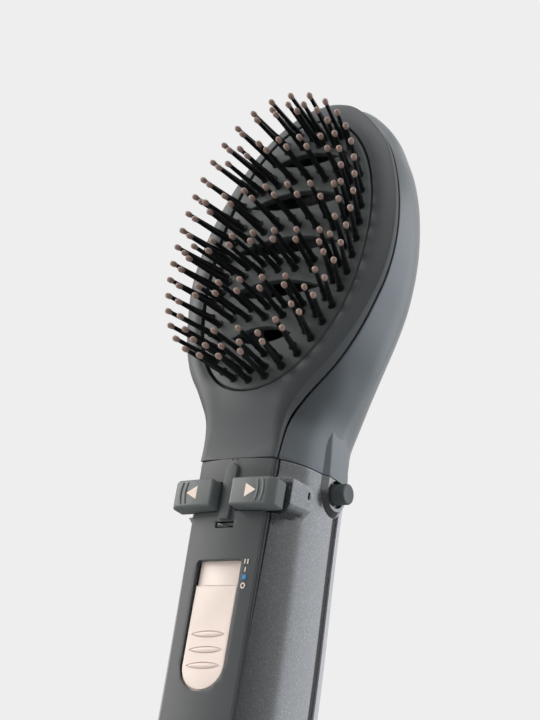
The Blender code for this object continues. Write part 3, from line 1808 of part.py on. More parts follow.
def split_cutter(name, index, side):
    """A fine slit that parts the pad's face layer beyond a vent."""
    path = split_path(index)
    half = split_width / 2
    outline = []
    for order, sign in ((path, 1), (list(reversed(path)), -1)):
        for point in order:
            outline.append((
                side * point.x, pad_centre_rise + point.y + sign * half
            ))
    return in_head(prism_y(name, outline, -2 * head_half_width, 0.0))


def band_cutter(name, index):
    """The region between two vents' centre lines."""
    wide = 2 * head_half_width

    def border(k, default):
        if k < 0 or k >= len(vent_height_shares):
            return [(-wide, default), (wide, default)]
        path = split_path(k)
        right = [(p.x, p.y) for p in path]
        right.append((wide, path[-1].y))
        left = [(-x, z) for x, z in reversed(right)]
        return left + right

    top = border(index - 1, pad_half_length + overrun)
    bottom = border(index, -pad_half_length - overrun)
    outline = [(x, z + pad_centre_rise) for x, z in top]
    outline += [(x, z + pad_centre_rise) for x, z in reversed(bottom)]
    return in_head(prism_y(name, outline, -wide, 0.0))


def band_of(place):
    """Which band of the pad a pin stands on."""
    for k in range(len(vent_height_shares)):
        path = split_path(k)
        x = abs(place.x)
        border = path[0].y
        if x > path[0].x:
            for a, b in zip(path, path[1:]):
                if a.x <= x <= b.x:
                    border = mix(a.y, b.y, (x - a.x) / (b.x - a.x))
                    break
            else:
                border = path[-1].y
        if place.y > border:
            return k
    return len(vent_height_shares)


def make_pad():
    """The pad's base plate and six bands of pins on its face layer."""
    base_front = pad_layer + fit_gap
    base = in_head(pad_slab(
        "pad_base", 0.0, base_front, base_front + pad_base_thickness, parts))
    vents = [vent_cutter(f"vent_{k}", k) for k in range(len(vent_height_shares))]
    for vent in vents:
        boolean(base, vent)
    paint(base, pad_green)
    splits = {}
    for k in range(len(vent_height_shares)):
        for side, label in ((1, "right"), (-1, "left")):
            splits[k, side] = split_cutter(f"split_{k}_{label}", k, side)
    places = pin_places()
    print(f"pins: {len(places)}")
    for band in range(len(vent_height_shares) + 1):
        plate = in_head(pad_slab(f"pin_bed_{band + 1}", 0.0, 0.0, pad_layer, parts))
        boolean(plate, band_cutter(f"band_{band}", band), "INTERSECT")
        for k in (band - 1, band):
            if 0 <= k < len(vent_height_shares):
                boolean(plate, vents[k])
                boolean(plate, splits[k, 1])
                boolean(plate, splits[k, -1])
        bm = bmesh.new()
        for place in places:
            if band_of(place) == band:
                add_pin(bm, place)
        pins = in_head(finish_mesh(f"pins_{band + 1}", bm))
        boolean(plate, pins, "UNION")
        paint(plate, pin_black)


def make_baffle():
    """The curved deflector that spreads the air behind the pad."""
    low = baffle_bottom_rise
    rings = []
    for j in range(6):
        t = j / 5
        z = low + baffle_length * t
        half = baffle_half_width * (0.55 + 0.45 * math.sin(math.pi * min(t + 0.15, 1)))
        y = -mix(-head_rear_centre * 0.35, head_rear_centre, ease(t))
        ring = []
        for i in range(7):
            x = half * (2 * i / 6 - 1)
            ring.append((x, y + baffle_thickness * 2 * (x / half) ** 2, z))
        for i in reversed(range(7)):
            x = half * (2 * i / 6 - 1)
            ring.append((x, y + baffle_thickness * (1 + 2 * (x / half) ** 2), z))
        rings.append(ring)
    baffle = in_head(loft("head_baffle", rings, parts))
    middle = baffle_bottom_rise + baffle_length / 2
    boolean(baffle, in_head(box(
        "baffle_rib",
        (-baffle_thickness / 2, -baffle_rib_front, middle - baffle_rib_height / 2),
        (baffle_thickness / 2, baffle_rib_back, middle + baffle_rib_height / 2),
    )), "UNION")
    paint(baffle, heat_nylon)


make_casings()
make_panel()
make_slider()
for button_side, button_label in ((-1, "left"), (1, "right")):
    make_direction_button(button_side, button_label)
    make_release_button(button_side, button_label)
make_barrel()
make_heater()
make_fan()
make_electronics()
make_end()
make_shells()
make_pad()
make_baffle()
bpy.context.view_layer.update()
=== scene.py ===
"""Looks of the hot air styling brush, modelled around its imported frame.

Lengths are metres in the frame's own axes: +Z runs up the handle to the head
and the pins point towards -Y. Each sub-assembly is a class that builds its
pieces and dresses them, and each finish is a small dataclass named for the
real material.
"""

import logging
import math
from collections.abc import Callable, Sequence
from dataclasses import dataclass, field
from enum import Enum

import bmesh
import bpy
from mathutils import Matrix, Vector


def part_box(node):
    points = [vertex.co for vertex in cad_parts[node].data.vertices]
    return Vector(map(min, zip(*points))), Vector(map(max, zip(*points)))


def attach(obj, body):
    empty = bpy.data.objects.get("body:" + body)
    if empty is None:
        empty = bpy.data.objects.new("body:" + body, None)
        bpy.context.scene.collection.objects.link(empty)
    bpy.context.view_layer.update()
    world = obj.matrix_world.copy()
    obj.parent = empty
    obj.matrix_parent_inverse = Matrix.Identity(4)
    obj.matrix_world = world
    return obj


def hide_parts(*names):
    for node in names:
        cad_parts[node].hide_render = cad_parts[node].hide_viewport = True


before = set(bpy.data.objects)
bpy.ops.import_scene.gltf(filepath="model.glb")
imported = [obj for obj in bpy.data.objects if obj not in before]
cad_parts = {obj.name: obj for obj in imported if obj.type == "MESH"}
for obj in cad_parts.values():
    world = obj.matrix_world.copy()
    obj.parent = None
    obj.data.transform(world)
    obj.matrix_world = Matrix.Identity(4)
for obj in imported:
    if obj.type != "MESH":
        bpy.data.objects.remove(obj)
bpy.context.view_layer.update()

LOG = logging.getLogger("hot_air_brush")
MM = 0.001

Shares = tuple[tuple[float, float], ...]
Outline = list[tuple[float, float]]
Ring = list[Vector]
Solid = bpy.types.Object
Tree = bpy.types.NodeTree
Node = bpy.types.Node
Socket = bpy.types.NodeSocket
Vert = bmesh.types.BMVert


class Carve(Enum):
    """What a tool solid does to the body it meets."""

    CUT = "DIFFERENCE"
    ADD = "UNION"
    KEEP = "INTERSECT"


class Side(Enum):
    """The two mirrored halves of the tool, by their sign along X."""

    LEFT = -1
    RIGHT = 1

    @property
    def label(self) -> str:
        """The half's name in lower case."""
        return self.name.lower()


class Axis(Enum):
    """The axis that an outline is drawn out along."""

    X = 0
    Y = 1
    Z = 2

    def point(self, a: float, b: float, along_axis: float) -> Vector:
        """A point in space.

        Args:
            a: its first coordinate in the outline's plane.
            b: its second coordinate there.
            along_axis: its place on the axis.

        Returns:
            The point.
        """
        values = [a, b]
        values.insert(self.value, along_axis)
        return Vector(values)


def mix(a: float, b: float, t: float) -> float:
    """A value between a and b."""
    return a + (b - a) * t


def ease(t: float) -> float:
    """A smooth step from 0 to 1."""
    t = min(max(t, 0.0), 1.0)
    return t * t * (3 - 2 * t)


def spread(low: float, high: float, count: int) -> list[float]:
    """Evenly spaced values from low to high."""
    return [mix(low, high, i / (count - 1)) for i in range(count)]


def arc(steps: int, turn: float = math.pi / 2, start: float = 0.0) -> Outline:
    """Cosine and sine of even angles from a start through a turn."""
    angles = [start + turn * k / steps for k in range(steps + 1)]
    return [(math.cos(angle), math.sin(angle)) for angle in angles]


def oblong(a0: float, b0: float, a1: float, b1: float) -> Outline:
    """A rectangle's corners, counter-clockwise from the lowest."""
    return [(a0, b0), (a1, b0), (a1, b1), (a0, b1)]


def signed_power(value: float, power: float) -> float:
    """A power of a number's size, with its sign kept."""
    return math.copysign(abs(value) ** power, value)


def along(shares: Shares, t: float) -> float:
    """Reads a table of places and shares along a smooth curve.

    Args:
        shares: pairs of a place and the share that holds there.
        t: the place to read.

    Returns:
        The share at t, held level past both ends of the table.
    """
    t = min(max(t, shares[0][0]), shares[-1][0])
    last = len(shares) - 1
    k = next((i for i in range(last) if t <= shares[i + 1][0]), last - 1)
    (t0, v0), (t1, v1) = shares[k], shares[k + 1]
    before = shares[max(k - 1, 0)]
    after = shares[min(k + 2, last)]
    slope0 = (v1 - before[1]) / (t1 - before[0])
    slope1 = (after[1] - v0) / (after[0] - t0)
    span = t1 - t0
    u = (t - t0) / span
    return (
        (2 * u**3 - 3 * u**2 + 1) * v0
        + (u**3 - 2 * u**2 + u) * slope0 * span
        + (3 * u**2 - 2 * u**3) * v1
        + (u**3 - u**2) * slope1 * span
    )


def rounded(points: Outline, radius: float, steps: int = 4) -> Outline:
    """Rounds the corners of a closed outline.

    Args:
        points: the outline's corners in order.
        radius: how far from a corner its round begins, at most.
        steps: how many spans each round has.

    Returns:
        The outline with a curve in place of each corner.
    """
    result: Outline = []
    count = len(points)
    for i, corner in enumerate(points):
        here = Vector(corner)
        back = Vector(points[i - 1]) - here
        ahead = Vector(points[(i + 1) % count]) - here
        reach = min(radius, back.length * 0.49, ahead.length * 0.49)
        start = here + back.normalized() * reach
        end = here + ahead.normalized() * reach
        for k in range(steps + 1):
            t = k / steps
            point = start * (1 - t) ** 2 + here * 2 * t * (1 - t) + end * t * t
            result.append((point.x, point.y))
    return result


def inset_outline(points: Outline, distance: float) -> Outline:
    """Moves a closed outline inwards.

    Args:
        points: the outline, counter-clockwise.
        distance: how far each edge moves.

    Returns:
        The moved outline.
    """
    result: Outline = []
    count = len(points)
    for i, point in enumerate(points):
        back = Vector(point) - Vector(points[i - 1])
        ahead = Vector(points[(i + 1) % count]) - Vector(point)
        along_edge = back.normalized() + ahead.normalized()
        normal = Vector((-along_edge.y, along_edge.x)).normalized()
        result.append((point[0] + normal.x * distance, point[1] + normal.y * distance))
    return result


def counter_clockwise(points: Outline) -> Outline:
    """Turns an outline counter-clockwise.

    Args:
        points: the outline.

    Returns:
        The points in that order.
    """
    area = sum(a[0] * b[1] - b[0] * a[1]
               for a, b in zip(points, points[1:] + points[:1]))
    return points if area > 0 else points[::-1]


def link(name: str, bm: bmesh.types.BMesh) -> Solid:
    """Turns a bmesh into a linked object with its faces pointing out.

    Args:
        name: the object's name.
        bm: the bmesh, which is freed.

    Returns:
        The object.
    """
    bmesh.ops.recalc_face_normals(bm, faces=bm.faces)
    mesh = bpy.data.meshes.new(name)
    bm.to_mesh(mesh)
    bm.free()
    obj = bpy.data.objects.new(name, mesh)
    bpy.context.scene.collection.objects.link(obj)
    return obj


def weave(
    bm: bmesh.types.BMesh, rows: Sequence[Sequence[Vert]], closed: bool = True
) -> list[bmesh.types.BMFace]:
    """Fills the space between successive rows of points with quads.

    Args:
        bm: the mesh that takes the faces.
        rows: rows with the same number of points.
        closed: whether each row's last point joins its first.

    Returns:
        The faces, row by row.
    """
    faces = []
    count = len(rows[0])
    for low, high in zip(rows, rows[1:]):
        for i in range(count if closed else count - 1):
            j = (i + 1) % count
            quad = (low[i], low[j], high[j], high[i])
            if len(set(quad)) == 4:
                faces.append(bm.faces.new(quad))
    return faces


def loft(
    name: str,
    rings: Sequence[Ring],
    ring_closed: bool = True,
    rows_closed: bool = False,
    merge: float = 0.0,
) -> Solid:
    """Joins successive equal rings of points into a body.

    Args:
        name: the object's name.
        rings: rings with the same number of points.
        ring_closed: whether each ring's last point joins its first.
        rows_closed: whether the last ring joins the first. If not, closed
            rings are filled at both ends.
        merge: distance within which points become one.

    Returns:
        The body.
    """
    bm = bmesh.new()
    rows = [[bm.verts.new(point) for point in ring] for ring in rings]
    weave(bm, rows + rows[:1] if rows_closed else rows, ring_closed)
    if ring_closed and not rows_closed:
        bm.faces.new(rows[0][::-1])
        bm.faces.new(rows[-1])
    if merge:
        bmesh.ops.remove_doubles(bm, verts=bm.verts, dist=merge)
    return link(name, bm)


def drawn(
    name: str,
    outline: Outline,
    axis: Axis,
    low: float,
    high: float,
    low_round: float = 0.0,
    high_round: float = 0.0,
    steps: int = 4,
) -> Solid:
    """An outline drawn out along an axis, with rounded ends.

    Args:
        name: the object's name.
        outline: points in the plane across the axis.
        axis: the axis.
        low: where the body begins.
        high: where it ends.
        low_round: radius of the edge at the low end.
        high_round: radius of the edge at the high end.
        steps: spans of each rounded edge.

    Returns:
        The closed body.
    """
    outline = counter_clockwise(outline)
    rows = [(low, 0.0)]
    if low_round:
        rows = [(low + low_round * (1 - c), low_round * (1 - s))
                for c, s in arc(steps)]
    if high_round:
        rows += [(high - high_round * (1 - s), high_round * (1 - c))
                 for c, s in arc(steps)]
    else:
        rows.append((high, 0.0))
    rings = []
    for place, inset in rows:
        points = inset_outline(outline, inset) if inset else outline
        rings.append([axis.point(a, b, place) for a, b in points])
    return loft(name, rings)


def turned(
    name: str,
    profile: Outline,
    origin: Vector,
    direction: Vector,
    sides: int = 64,
) -> Solid:
    """A closed profile turned about a direction.

    Args:
        name: the object's name.
        profile: (radius, height) points; it closes from the last to the first.
        origin: where height 0 lies.
        direction: the axis.
        sides: how many sides go round.

    Returns:
        The turned body.
    """
    turn = Vector((0, 0, 1)).rotation_difference(direction).to_matrix()
    rings = []
    for c, s in arc(sides, math.tau)[:-1]:
        rings.append([origin + turn @ Vector((r * c, r * s, h)) for r, h in profile])
    return loft(name, rings, rows_closed=True, merge=1e-7)


def settle(obj: Solid) -> Solid:
    """Applies an object's modifiers to its mesh.

    Args:
        obj: the object.

    Returns:
        The object.
    """
    graph = bpy.context.evaluated_depsgraph_get()
    mesh = bpy.data.meshes.new_from_object(obj.evaluated_get(graph))
    obj.modifiers.clear()
    obj.data = mesh
    return obj


def carve(body: Solid, how: Carve, tools: Sequence[Solid]) -> Solid:
    """Cuts or joins tools to a body, and removes them.

    Args:
        body: the body that is changed.
        how: what each tool does to it.
        tools: the solids that do it.

    Returns:
        The body.
    """
    for tool in tools:
        mod = body.modifiers.new(tool.name, "BOOLEAN")
        mod.operation = how.value
        mod.solver = "EXACT"
        mod.object = tool
    settle(body)
    for tool in tools:
        bpy.data.objects.remove(tool)
    return body


def soften(obj: Solid, width: float, segments: int = 2, angle: float = 32.0) -> Solid:
    """Rounds an object's sharp edges and applies the round.

    Args:
        obj: the object.
        width: the round's width.
        segments: its spans.
        angle: the least turn of an edge that it rounds, in degrees.

    Returns:
        The object.
    """
    mod = obj.modifiers.new("round", "BEVEL")
    mod.width = width
    mod.segments = segments
    mod.limit_method = "ANGLE"
    mod.angle_limit = math.radians(angle)
    mod.use_clamp_overlap = True
    mod.miter_outer = "MITER_ARC"
    return settle(obj)


def fuse(name: str, pieces: Sequence[Solid]) -> Solid:
    """Puts several bodies that touch into one object.

    Args:
        name: the object's name.
        pieces: the bodies, which are removed.

    Returns:
        The object.
    """
    bm = bmesh.new()
    for piece in pieces:
        piece.data.transform(piece.matrix_world)
        bm.from_mesh(piece.data)
        bpy.data.objects.remove(piece)
    return link(name, bm)


def shade(obj: Solid, angle: float = 30.0) -> Solid:
    """Shades an object smooth, but for its sharp edges.

    Args:
        obj: the object.
        angle: the least turn of an edge that stays sharp, in degrees.

    Returns:
        The object.
    """
    obj.data.shade_smooth()
    obj.data.set_sharp_from_angle(angle=math.radians(angle))
    return obj


def dress(
    obj: Solid, body: str, finish: "Finish", replaces: Sequence[str] = ()
) -> None:
    """Gives a piece its finish and its body, and hides what it stands for.

    Args:
        obj: the piece, in place.
        body: the frame's body that it moves with.
        finish: its material.
        replaces: the frame's nodes that it replaces.
    """
    if not obj.data.materials:
        obj.data.materials.append(finish.material())
    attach(obj, body)
    if replaces:
        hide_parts(*replaces)
    LOG.info("%s: %d faces on %s", obj.name, len(obj.data.polygons), body)


def linear(colour: str) -> tuple[float, float, float, float]:
    """Turns a colour to the renderer's linear values.

    Args:
        colour: the colour as sRGB hex, with its leading mark.

    Returns:
        Linear red, green, blue and alpha.
    """
    values = [int(colour[k:k + 2], 16) / 255 for k in (1, 3, 5)]
    red, green, blue = (
        v / 12.92 if v <= 0.04045 else ((v + 0.055) / 1.055) ** 2.4 for v in values)
    return (red, green, blue, 1.0)


def add_node(
    tree: Tree,
    kind: str,
    values: dict | None = None,
    links: dict | None = None,
) -> Node:
    """Adds a node to a tree.

    Args:
        tree: the tree that takes it.
        kind: the node's type, without the words ShaderNode.
        values: settings of the node, or values of its inputs.
        links: sockets that feed its inputs.

    Returns:
        The node.
    """
    node = tree.nodes.new("ShaderNode" + kind)
    for key, value in (values or {}).items():
        if isinstance(key, str) and hasattr(node, key):
            setattr(node, key, value)
        else:
            node.inputs[key].default_value = value
    for key, source in (links or {}).items():
        tree.links.new(source, node.inputs[key])
    return node


@dataclass(frozen=True)
class Finish:
    """What every finish has: its name, its slot in the record and its shader."""

    name: str
    slot: str
    colour: str
    shade: str
    roughness: float
    ior: float = 1.5

    def material(self) -> bpy.types.Material:
        """The finish's material, made once.

        Returns:
            The material.
        """
        found = bpy.data.materials.get(self.name)
        if found:
            return found
        mat = bpy.data.materials.new(self.name)
        mat.use_nodes = True
        tree = mat.node_tree
        shader = tree.nodes["Principled BSDF"]
        shader.inputs["Roughness"].default_value = self.roughness
        shader.inputs["IOR"].default_value = self.ior
        self.paint(tree, shader, add_node(tree, "TexCoord").outputs["Object"])
        mat.diffuse_color = linear(self.colour)
        return mat

    def paint(self, tree: Tree, shader: Node, place: Socket) -> None:
        """Adds the finish's own nodes to the shader."""
        raise NotImplementedError


@dataclass(frozen=True)
class Moulded(Finish):
    """A moulded plastic: a spark-eroded grain over slow changes of tone.

    grain_mm is the spacing of the grain's bumps and grain_depth_mm their
    height; tone_mm is the size of the patches in which the tone drifts. The
    roughness follows the grain by roughness_swing.
    """

    grain_mm: float = 0.45
    grain_depth_mm: float = 0.006
    grain_range: tuple[float, float] = (0.3, 0.7)
    tone_mm: float = 14.0
    roughness_swing: float = 0.05
    flake_mm: float = 0.0
    flake_colour: str = "#ffffff"
    flake_share: float = 0.0
    flake_cover: float = 0.75
    coat: float = 0.0
    coat_roughness: float = 0.1
    metallic: float = 0.0
    shine: float = 0.5

    def paint(self, tree: Tree, shader: Node, place: Socket) -> None:
        """Adds tone, grain and flakes to the shader.

        Args:
            tree: the material's nodes.
            shader: its shader.
            place: the place on the object.
        """
        for name, value in (
            ("Metallic", self.metallic), ("Specular IOR Level", self.shine),
            ("Coat Weight", self.coat), ("Coat Roughness", self.coat_roughness),
        ):
            shader.inputs[name].default_value = value
        tone = add_node(
            tree, "TexNoise", {"Scale": 1 / (self.tone_mm * MM), "Detail": 2.0},
            {"Vector": place}).outputs["Fac"]
        tones = {"data_type": "RGBA", 6: linear(self.colour), 7: linear(self.shade)}
        colour = add_node(tree, "Mix", tones, {"Factor": tone}).outputs[2]
        grain = add_node(
            tree, "TexNoise", {"Scale": 1 / (self.grain_mm * MM), "Detail": 3.0},
            {"Vector": place}).outputs["Fac"]
        if self.flake_mm:
            cells = add_node(tree, "TexVoronoi", {"Scale": 1 / (self.flake_mm * MM)},
                             {"Vector": place})
            red = add_node(tree, "SeparateColor", {}, {"Color": cells.outputs["Color"]})
            bright = add_node(
                tree, "MapRange",
                {"From Min": 1 - self.flake_share, "From Max": 1.0,
                 "To Min": 0.0, "To Max": self.flake_cover},
                {"Value": red.outputs["Red"]}).outputs["Result"]
            colour = add_node(
                tree, "Mix", {"data_type": "RGBA", 7: linear(self.flake_colour)},
                {"Factor": bright, 6: colour}).outputs[2]
        low, high = self.grain_range
        rough = add_node(
            tree, "MapRange",
            {"From Min": low, "From Max": high,
             "To Min": self.roughness - self.roughness_swing,
             "To Max": self.roughness + self.roughness_swing}, {"Value": grain})
        raised = {"Strength": 1.0, "Distance": self.grain_depth_mm * MM}
        bump = add_node(tree, "Bump", raised, {"Height": grain})
        tree.links.new(colour, shader.inputs["Base Color"])
        tree.links.new(rough.outputs["Result"], shader.inputs["Roughness"])
        tree.links.new(bump.outputs["Normal"], shader.inputs["Normal"])


@dataclass(frozen=True)
class Metal(Finish):
    """A drawn, rolled or plated metal with fine lines along one axis.

    line_mm is the spacing of the lines and stretch says how much longer than
    wide they are.
    """

    line_mm: float = 0.3
    line_depth_mm: float = 0.003
    stretch: float = 20.0
    metallic: float = 1.0

    def paint(self, tree: Tree, shader: Node, place: Socket) -> None:
        """Adds the lines and the metal's two tones to the shader.

        Args:
            tree: the material's nodes.
            shader: its shader.
            place: the place on the object.
        """
        shader.inputs["Metallic"].default_value = self.metallic
        drawn_out = add_node(tree, "Mapping", {"Scale": (1.0, 1.0, 1 / self.stretch)},
                             {"Vector": place}).outputs["Vector"]
        lines = add_node(
            tree, "TexNoise", {"Scale": 1 / (self.line_mm * MM), "Detail": 2.0},
            {"Vector": drawn_out}).outputs["Fac"]
        tones = {"data_type": "RGBA", 6: linear(self.colour), 7: linear(self.shade)}
        colour = add_node(tree, "Mix", tones, {"Factor": lines})
        raised = {"Strength": 1.0, "Distance": self.line_depth_mm * MM}
        bump = add_node(tree, "Bump", raised, {"Height": lines})
        tree.links.new(colour.outputs[2], shader.inputs["Base Color"])
        tree.links.new(bump.outputs["Normal"], shader.inputs["Normal"])


@dataclass(frozen=True)
class Woven(Finish):
    """A plain woven wire screen: two sets of wires at right angles."""

    wire_mm: float = 0.6
    wire_depth_mm: float = 0.1
    wave_period: float = 6.3
    metallic: float = 0.8

    def paint(self, tree: Tree, shader: Node, place: Socket) -> None:
        """Adds the wires' light and dark bands to the shader.

        Args:
            tree: the material's nodes.
            shader: its shader.
            place: the place on the object.
        """
        shader.inputs["Metallic"].default_value = self.metallic
        scale = 1 / (self.wire_mm * MM) / self.wave_period
        bands = {}
        for k, axis in enumerate(("Z", "DIAGONAL")):
            kind = {"bands_direction": axis, "Scale": scale}
            bands[k] = add_node(tree, "TexWave", kind, {"Vector": place}).outputs["Fac"]
        cross = add_node(tree, "Math", {"operation": "MAXIMUM"}, bands).outputs["Value"]
        tones = {"data_type": "RGBA", 6: linear(self.shade), 7: linear(self.colour)}
        colour = add_node(tree, "Mix", tones, {"Factor": cross})
        raised = {"Strength": 1.0, "Distance": self.wire_depth_mm * MM}
        bump = add_node(tree, "Bump", raised, {"Height": cross})
        tree.links.new(colour.outputs[2], shader.inputs["Base Color"])
        tree.links.new(bump.outputs["Normal"], shader.inputs["Normal"])


# Acrylonitrile butadiene styrene with a pearl pigment: satin, half metallic,
# with fine dots. Real flakes are under 0.1 mm; drawn at 0.25 mm to show.
PEARL_ABS = Moulded(
    "pearl_abs", "pearl_grey", "#727476", "#7a7c7e", 0.24,
    grain_mm=0.5, grain_depth_mm=0.004, tone_mm=22.0, flake_mm=0.25,
    flake_colour="#96999b", flake_share=0.25, coat=0.1, coat_roughness=0.3,
    metallic=0.8,
)
# The same plastic in a paler pearl: the rear half.
PALE_ABS = Moulded(
    "pale_pearl_abs", "pale_grey", "#c2c6cc", "#cccfd5", 0.34,
    grain_depth_mm=0.003, tone_mm=30.0, flake_mm=0.25, flake_colour="#e4e7ea",
    flake_share=0.12, coat=0.2, coat_roughness=0.2, metallic=0.2,
)
# A thermoplastic rubber strip: soft, dark and without shine.
# The same dark rubber is also painted shade in the joint's ring and the slider window's
# sleeve.
STRIP_AND_SHADE_TPE = Moulded(
    "strip_and_painted_shade_tpe", "dark_trim", "#2a2a2d", "#313134", 0.6, shine=0.4,
    grain_mm=0.6, grain_depth_mm=0.01,
)
# Matte ABS with a fine spark-eroded grain: even, slightly blue grey.
PANEL_ABS = Moulded(
    "panel_abs", "matte_grey", "#4f5355", "#565a5c", 0.45,
    grain_mm=0.5, grain_depth_mm=0.005, tone_mm=25.0, shine=0.3,
)
# Glass-filled nylon of the head's front: matte, with a faint mottle.
FRONT_NYLON = Moulded(
    "front_shell_nylon", "shell_grey", "#4c5053", "#53575a", 0.46,
    grain_mm=0.55, tone_mm=30.0, shine=0.3,
)
# Polycarbonate of the head's rear: satin blue grey with soft reflections.
REAR_PC = Moulded(
    "rear_shell_polycarbonate", "rear_grey", "#62696e", "#6a7176", 0.34,
    grain_mm=0.6, grain_depth_mm=0.003, tone_mm=26.0, coat=0.1,
    coat_roughness=0.3, metallic=0.4,
)
# Heat-proof nylon of the pad: matte, greenish, with a visible grain.
PAD_NYLON = Moulded(
    "pad_nylon", "pad_grey", "#484e4e", "#525858", 0.6,
    grain_mm=0.5, grain_depth_mm=0.012, tone_mm=18.0,
)
# Nylon bristles: nearly black, satin from the mould.
PIN_NYLON = Moulded(
    "pin_nylon", "pin_black", "#121416", "#191b1e", 0.38,
    grain_mm=0.4, grain_depth_mm=0.003,
)
# The balls on the bristles are dipped in a skin-coloured resin.
TIP_RESIN = Moulded(
    "tip_resin", "pin_black", "#957e75", "#a38c82", 0.36,
    grain_mm=0.4, grain_depth_mm=0.003,
)
# Soft-touch lacquer on the keys: matte with a broad soft sheen.
KEY_ABS = Moulded(
    "key_abs", "button_grey", "#636a6a", "#6b7272", 0.42,
    grain_depth_mm=0.005, shine=0.4,
)
# Rose ABS of the slider: smooth, pale and satin.
ROSE_ABS = Moulded(
    "rose_abs", "slider_rose", "#faeae0", "#fceee6", 0.42,
    grain_mm=0.6, grain_depth_mm=0.002, tone_mm=20.0, coat=0.15,
    coat_roughness=0.2,
)
# Nylon of the release pegs: a mid grey that shows the round end.
PEG_NYLON = Moulded(
    "peg_nylon", "button_grey", "#4b5355", "#525a5c", 0.42,
    grain_depth_mm=0.005, shine=0.4,
)
# Dyed nylon of the hidden mouldings and the collar: black, with a dull shine.
BLACK_NYLON = Moulded(
    "black_nylon", "black_nylon", "#2c2d2f", "#343537", 0.4, grain_mm=0.5,
)
# Glass-filled polyamide that stands next to the heater: dull, slightly brown.
HEAT_NYLON = Moulded(
    "heat_proof_nylon", "heat_nylon", "#37373a", "#413f3f", 0.5,
    grain_mm=0.8, grain_depth_mm=0.012,
)
# Natural nylon of the hub and rotor: milky white.
WHITE_NYLON = Moulded(
    "natural_nylon", "white_nylon", "#d9d8d2", "#e2e1da", 0.42,
    grain_depth_mm=0.004,
)
# Tinted acrylic lens: dark, clear and glossy.
LENS_ACRYLIC = Moulded(
    "lens_acrylic", "lens", "#3c4143", "#45494b", 0.15, ior=1.49,
    grain_mm=1.2, grain_depth_mm=0.0005, coat=0.6, coat_roughness=0.05,
)
# Cream pad-printing ink on the panel and the keys.
CREAM_INK = Moulded(
    "cream_ink", "slider_rose", "#f6e3d5", "#f9e9dd", 0.5,
    grain_mm=0.2, grain_depth_mm=0.002,
)
# Blue pad-printing ink of the cool-air star.
BLUE_INK = Moulded(
    "blue_ink", "lens", "#2486c4", "#2f92cf", 0.5,
    grain_mm=0.2, grain_depth_mm=0.002,
)
# Mica sheet: layered, dull gold, split in flakes of a few millimetres.
MICA = Moulded(
    "mica_sheet", "mica", "#a08a62", "#c2ad86", 0.5,
    grain_mm=3.0, grain_depth_mm=0.05, tone_mm=5.0,
)
# Green glass-cloth laminate of the circuit board.
LAMINATE = Moulded(
    "board_laminate", "board", "#1d5b35", "#2a6b41", 0.4,
    grain_mm=0.8, grain_depth_mm=0.01, tone_mm=4.0,
)
# Black epoxy that fills the ion generator's case.
POTTING = Moulded(
    "potting_resin", "potting", "#232427", "#2d2e32", 0.25,
    grain_mm=2.0, grain_depth_mm=0.01,
)
# Hard-drawn spring wire: bright, with fine drawing lines.
SPRING_STEEL = Metal("spring_steel", "spring_steel", "#b9bbbf", "#d2d4d8", 0.28)
# Zinc-plated steel of the motors and the cut-out: bright grey.
MOTOR_STEEL = Metal(
    "zinc_plated_steel", "motor_steel", "#a9abae", "#c6c8cb", 0.34, line_mm=0.6,
)
# Nickel-chromium heating wire, browned by use.
NICHROME = Metal("nichrome_wire", "nichrome", "#7d6f66", "#a3958b", 0.4)
# Woven steel screen behind the intake grille, 0.6 mm between its wires.
SCREEN = Woven("steel_screen", "screen_steel", "#9a9c9f", "#1f2022", 0.5)


@dataclass(frozen=True)
class Section:
    """One section of the handle."""

    half_width: float
    half_depth: float
    shift: float


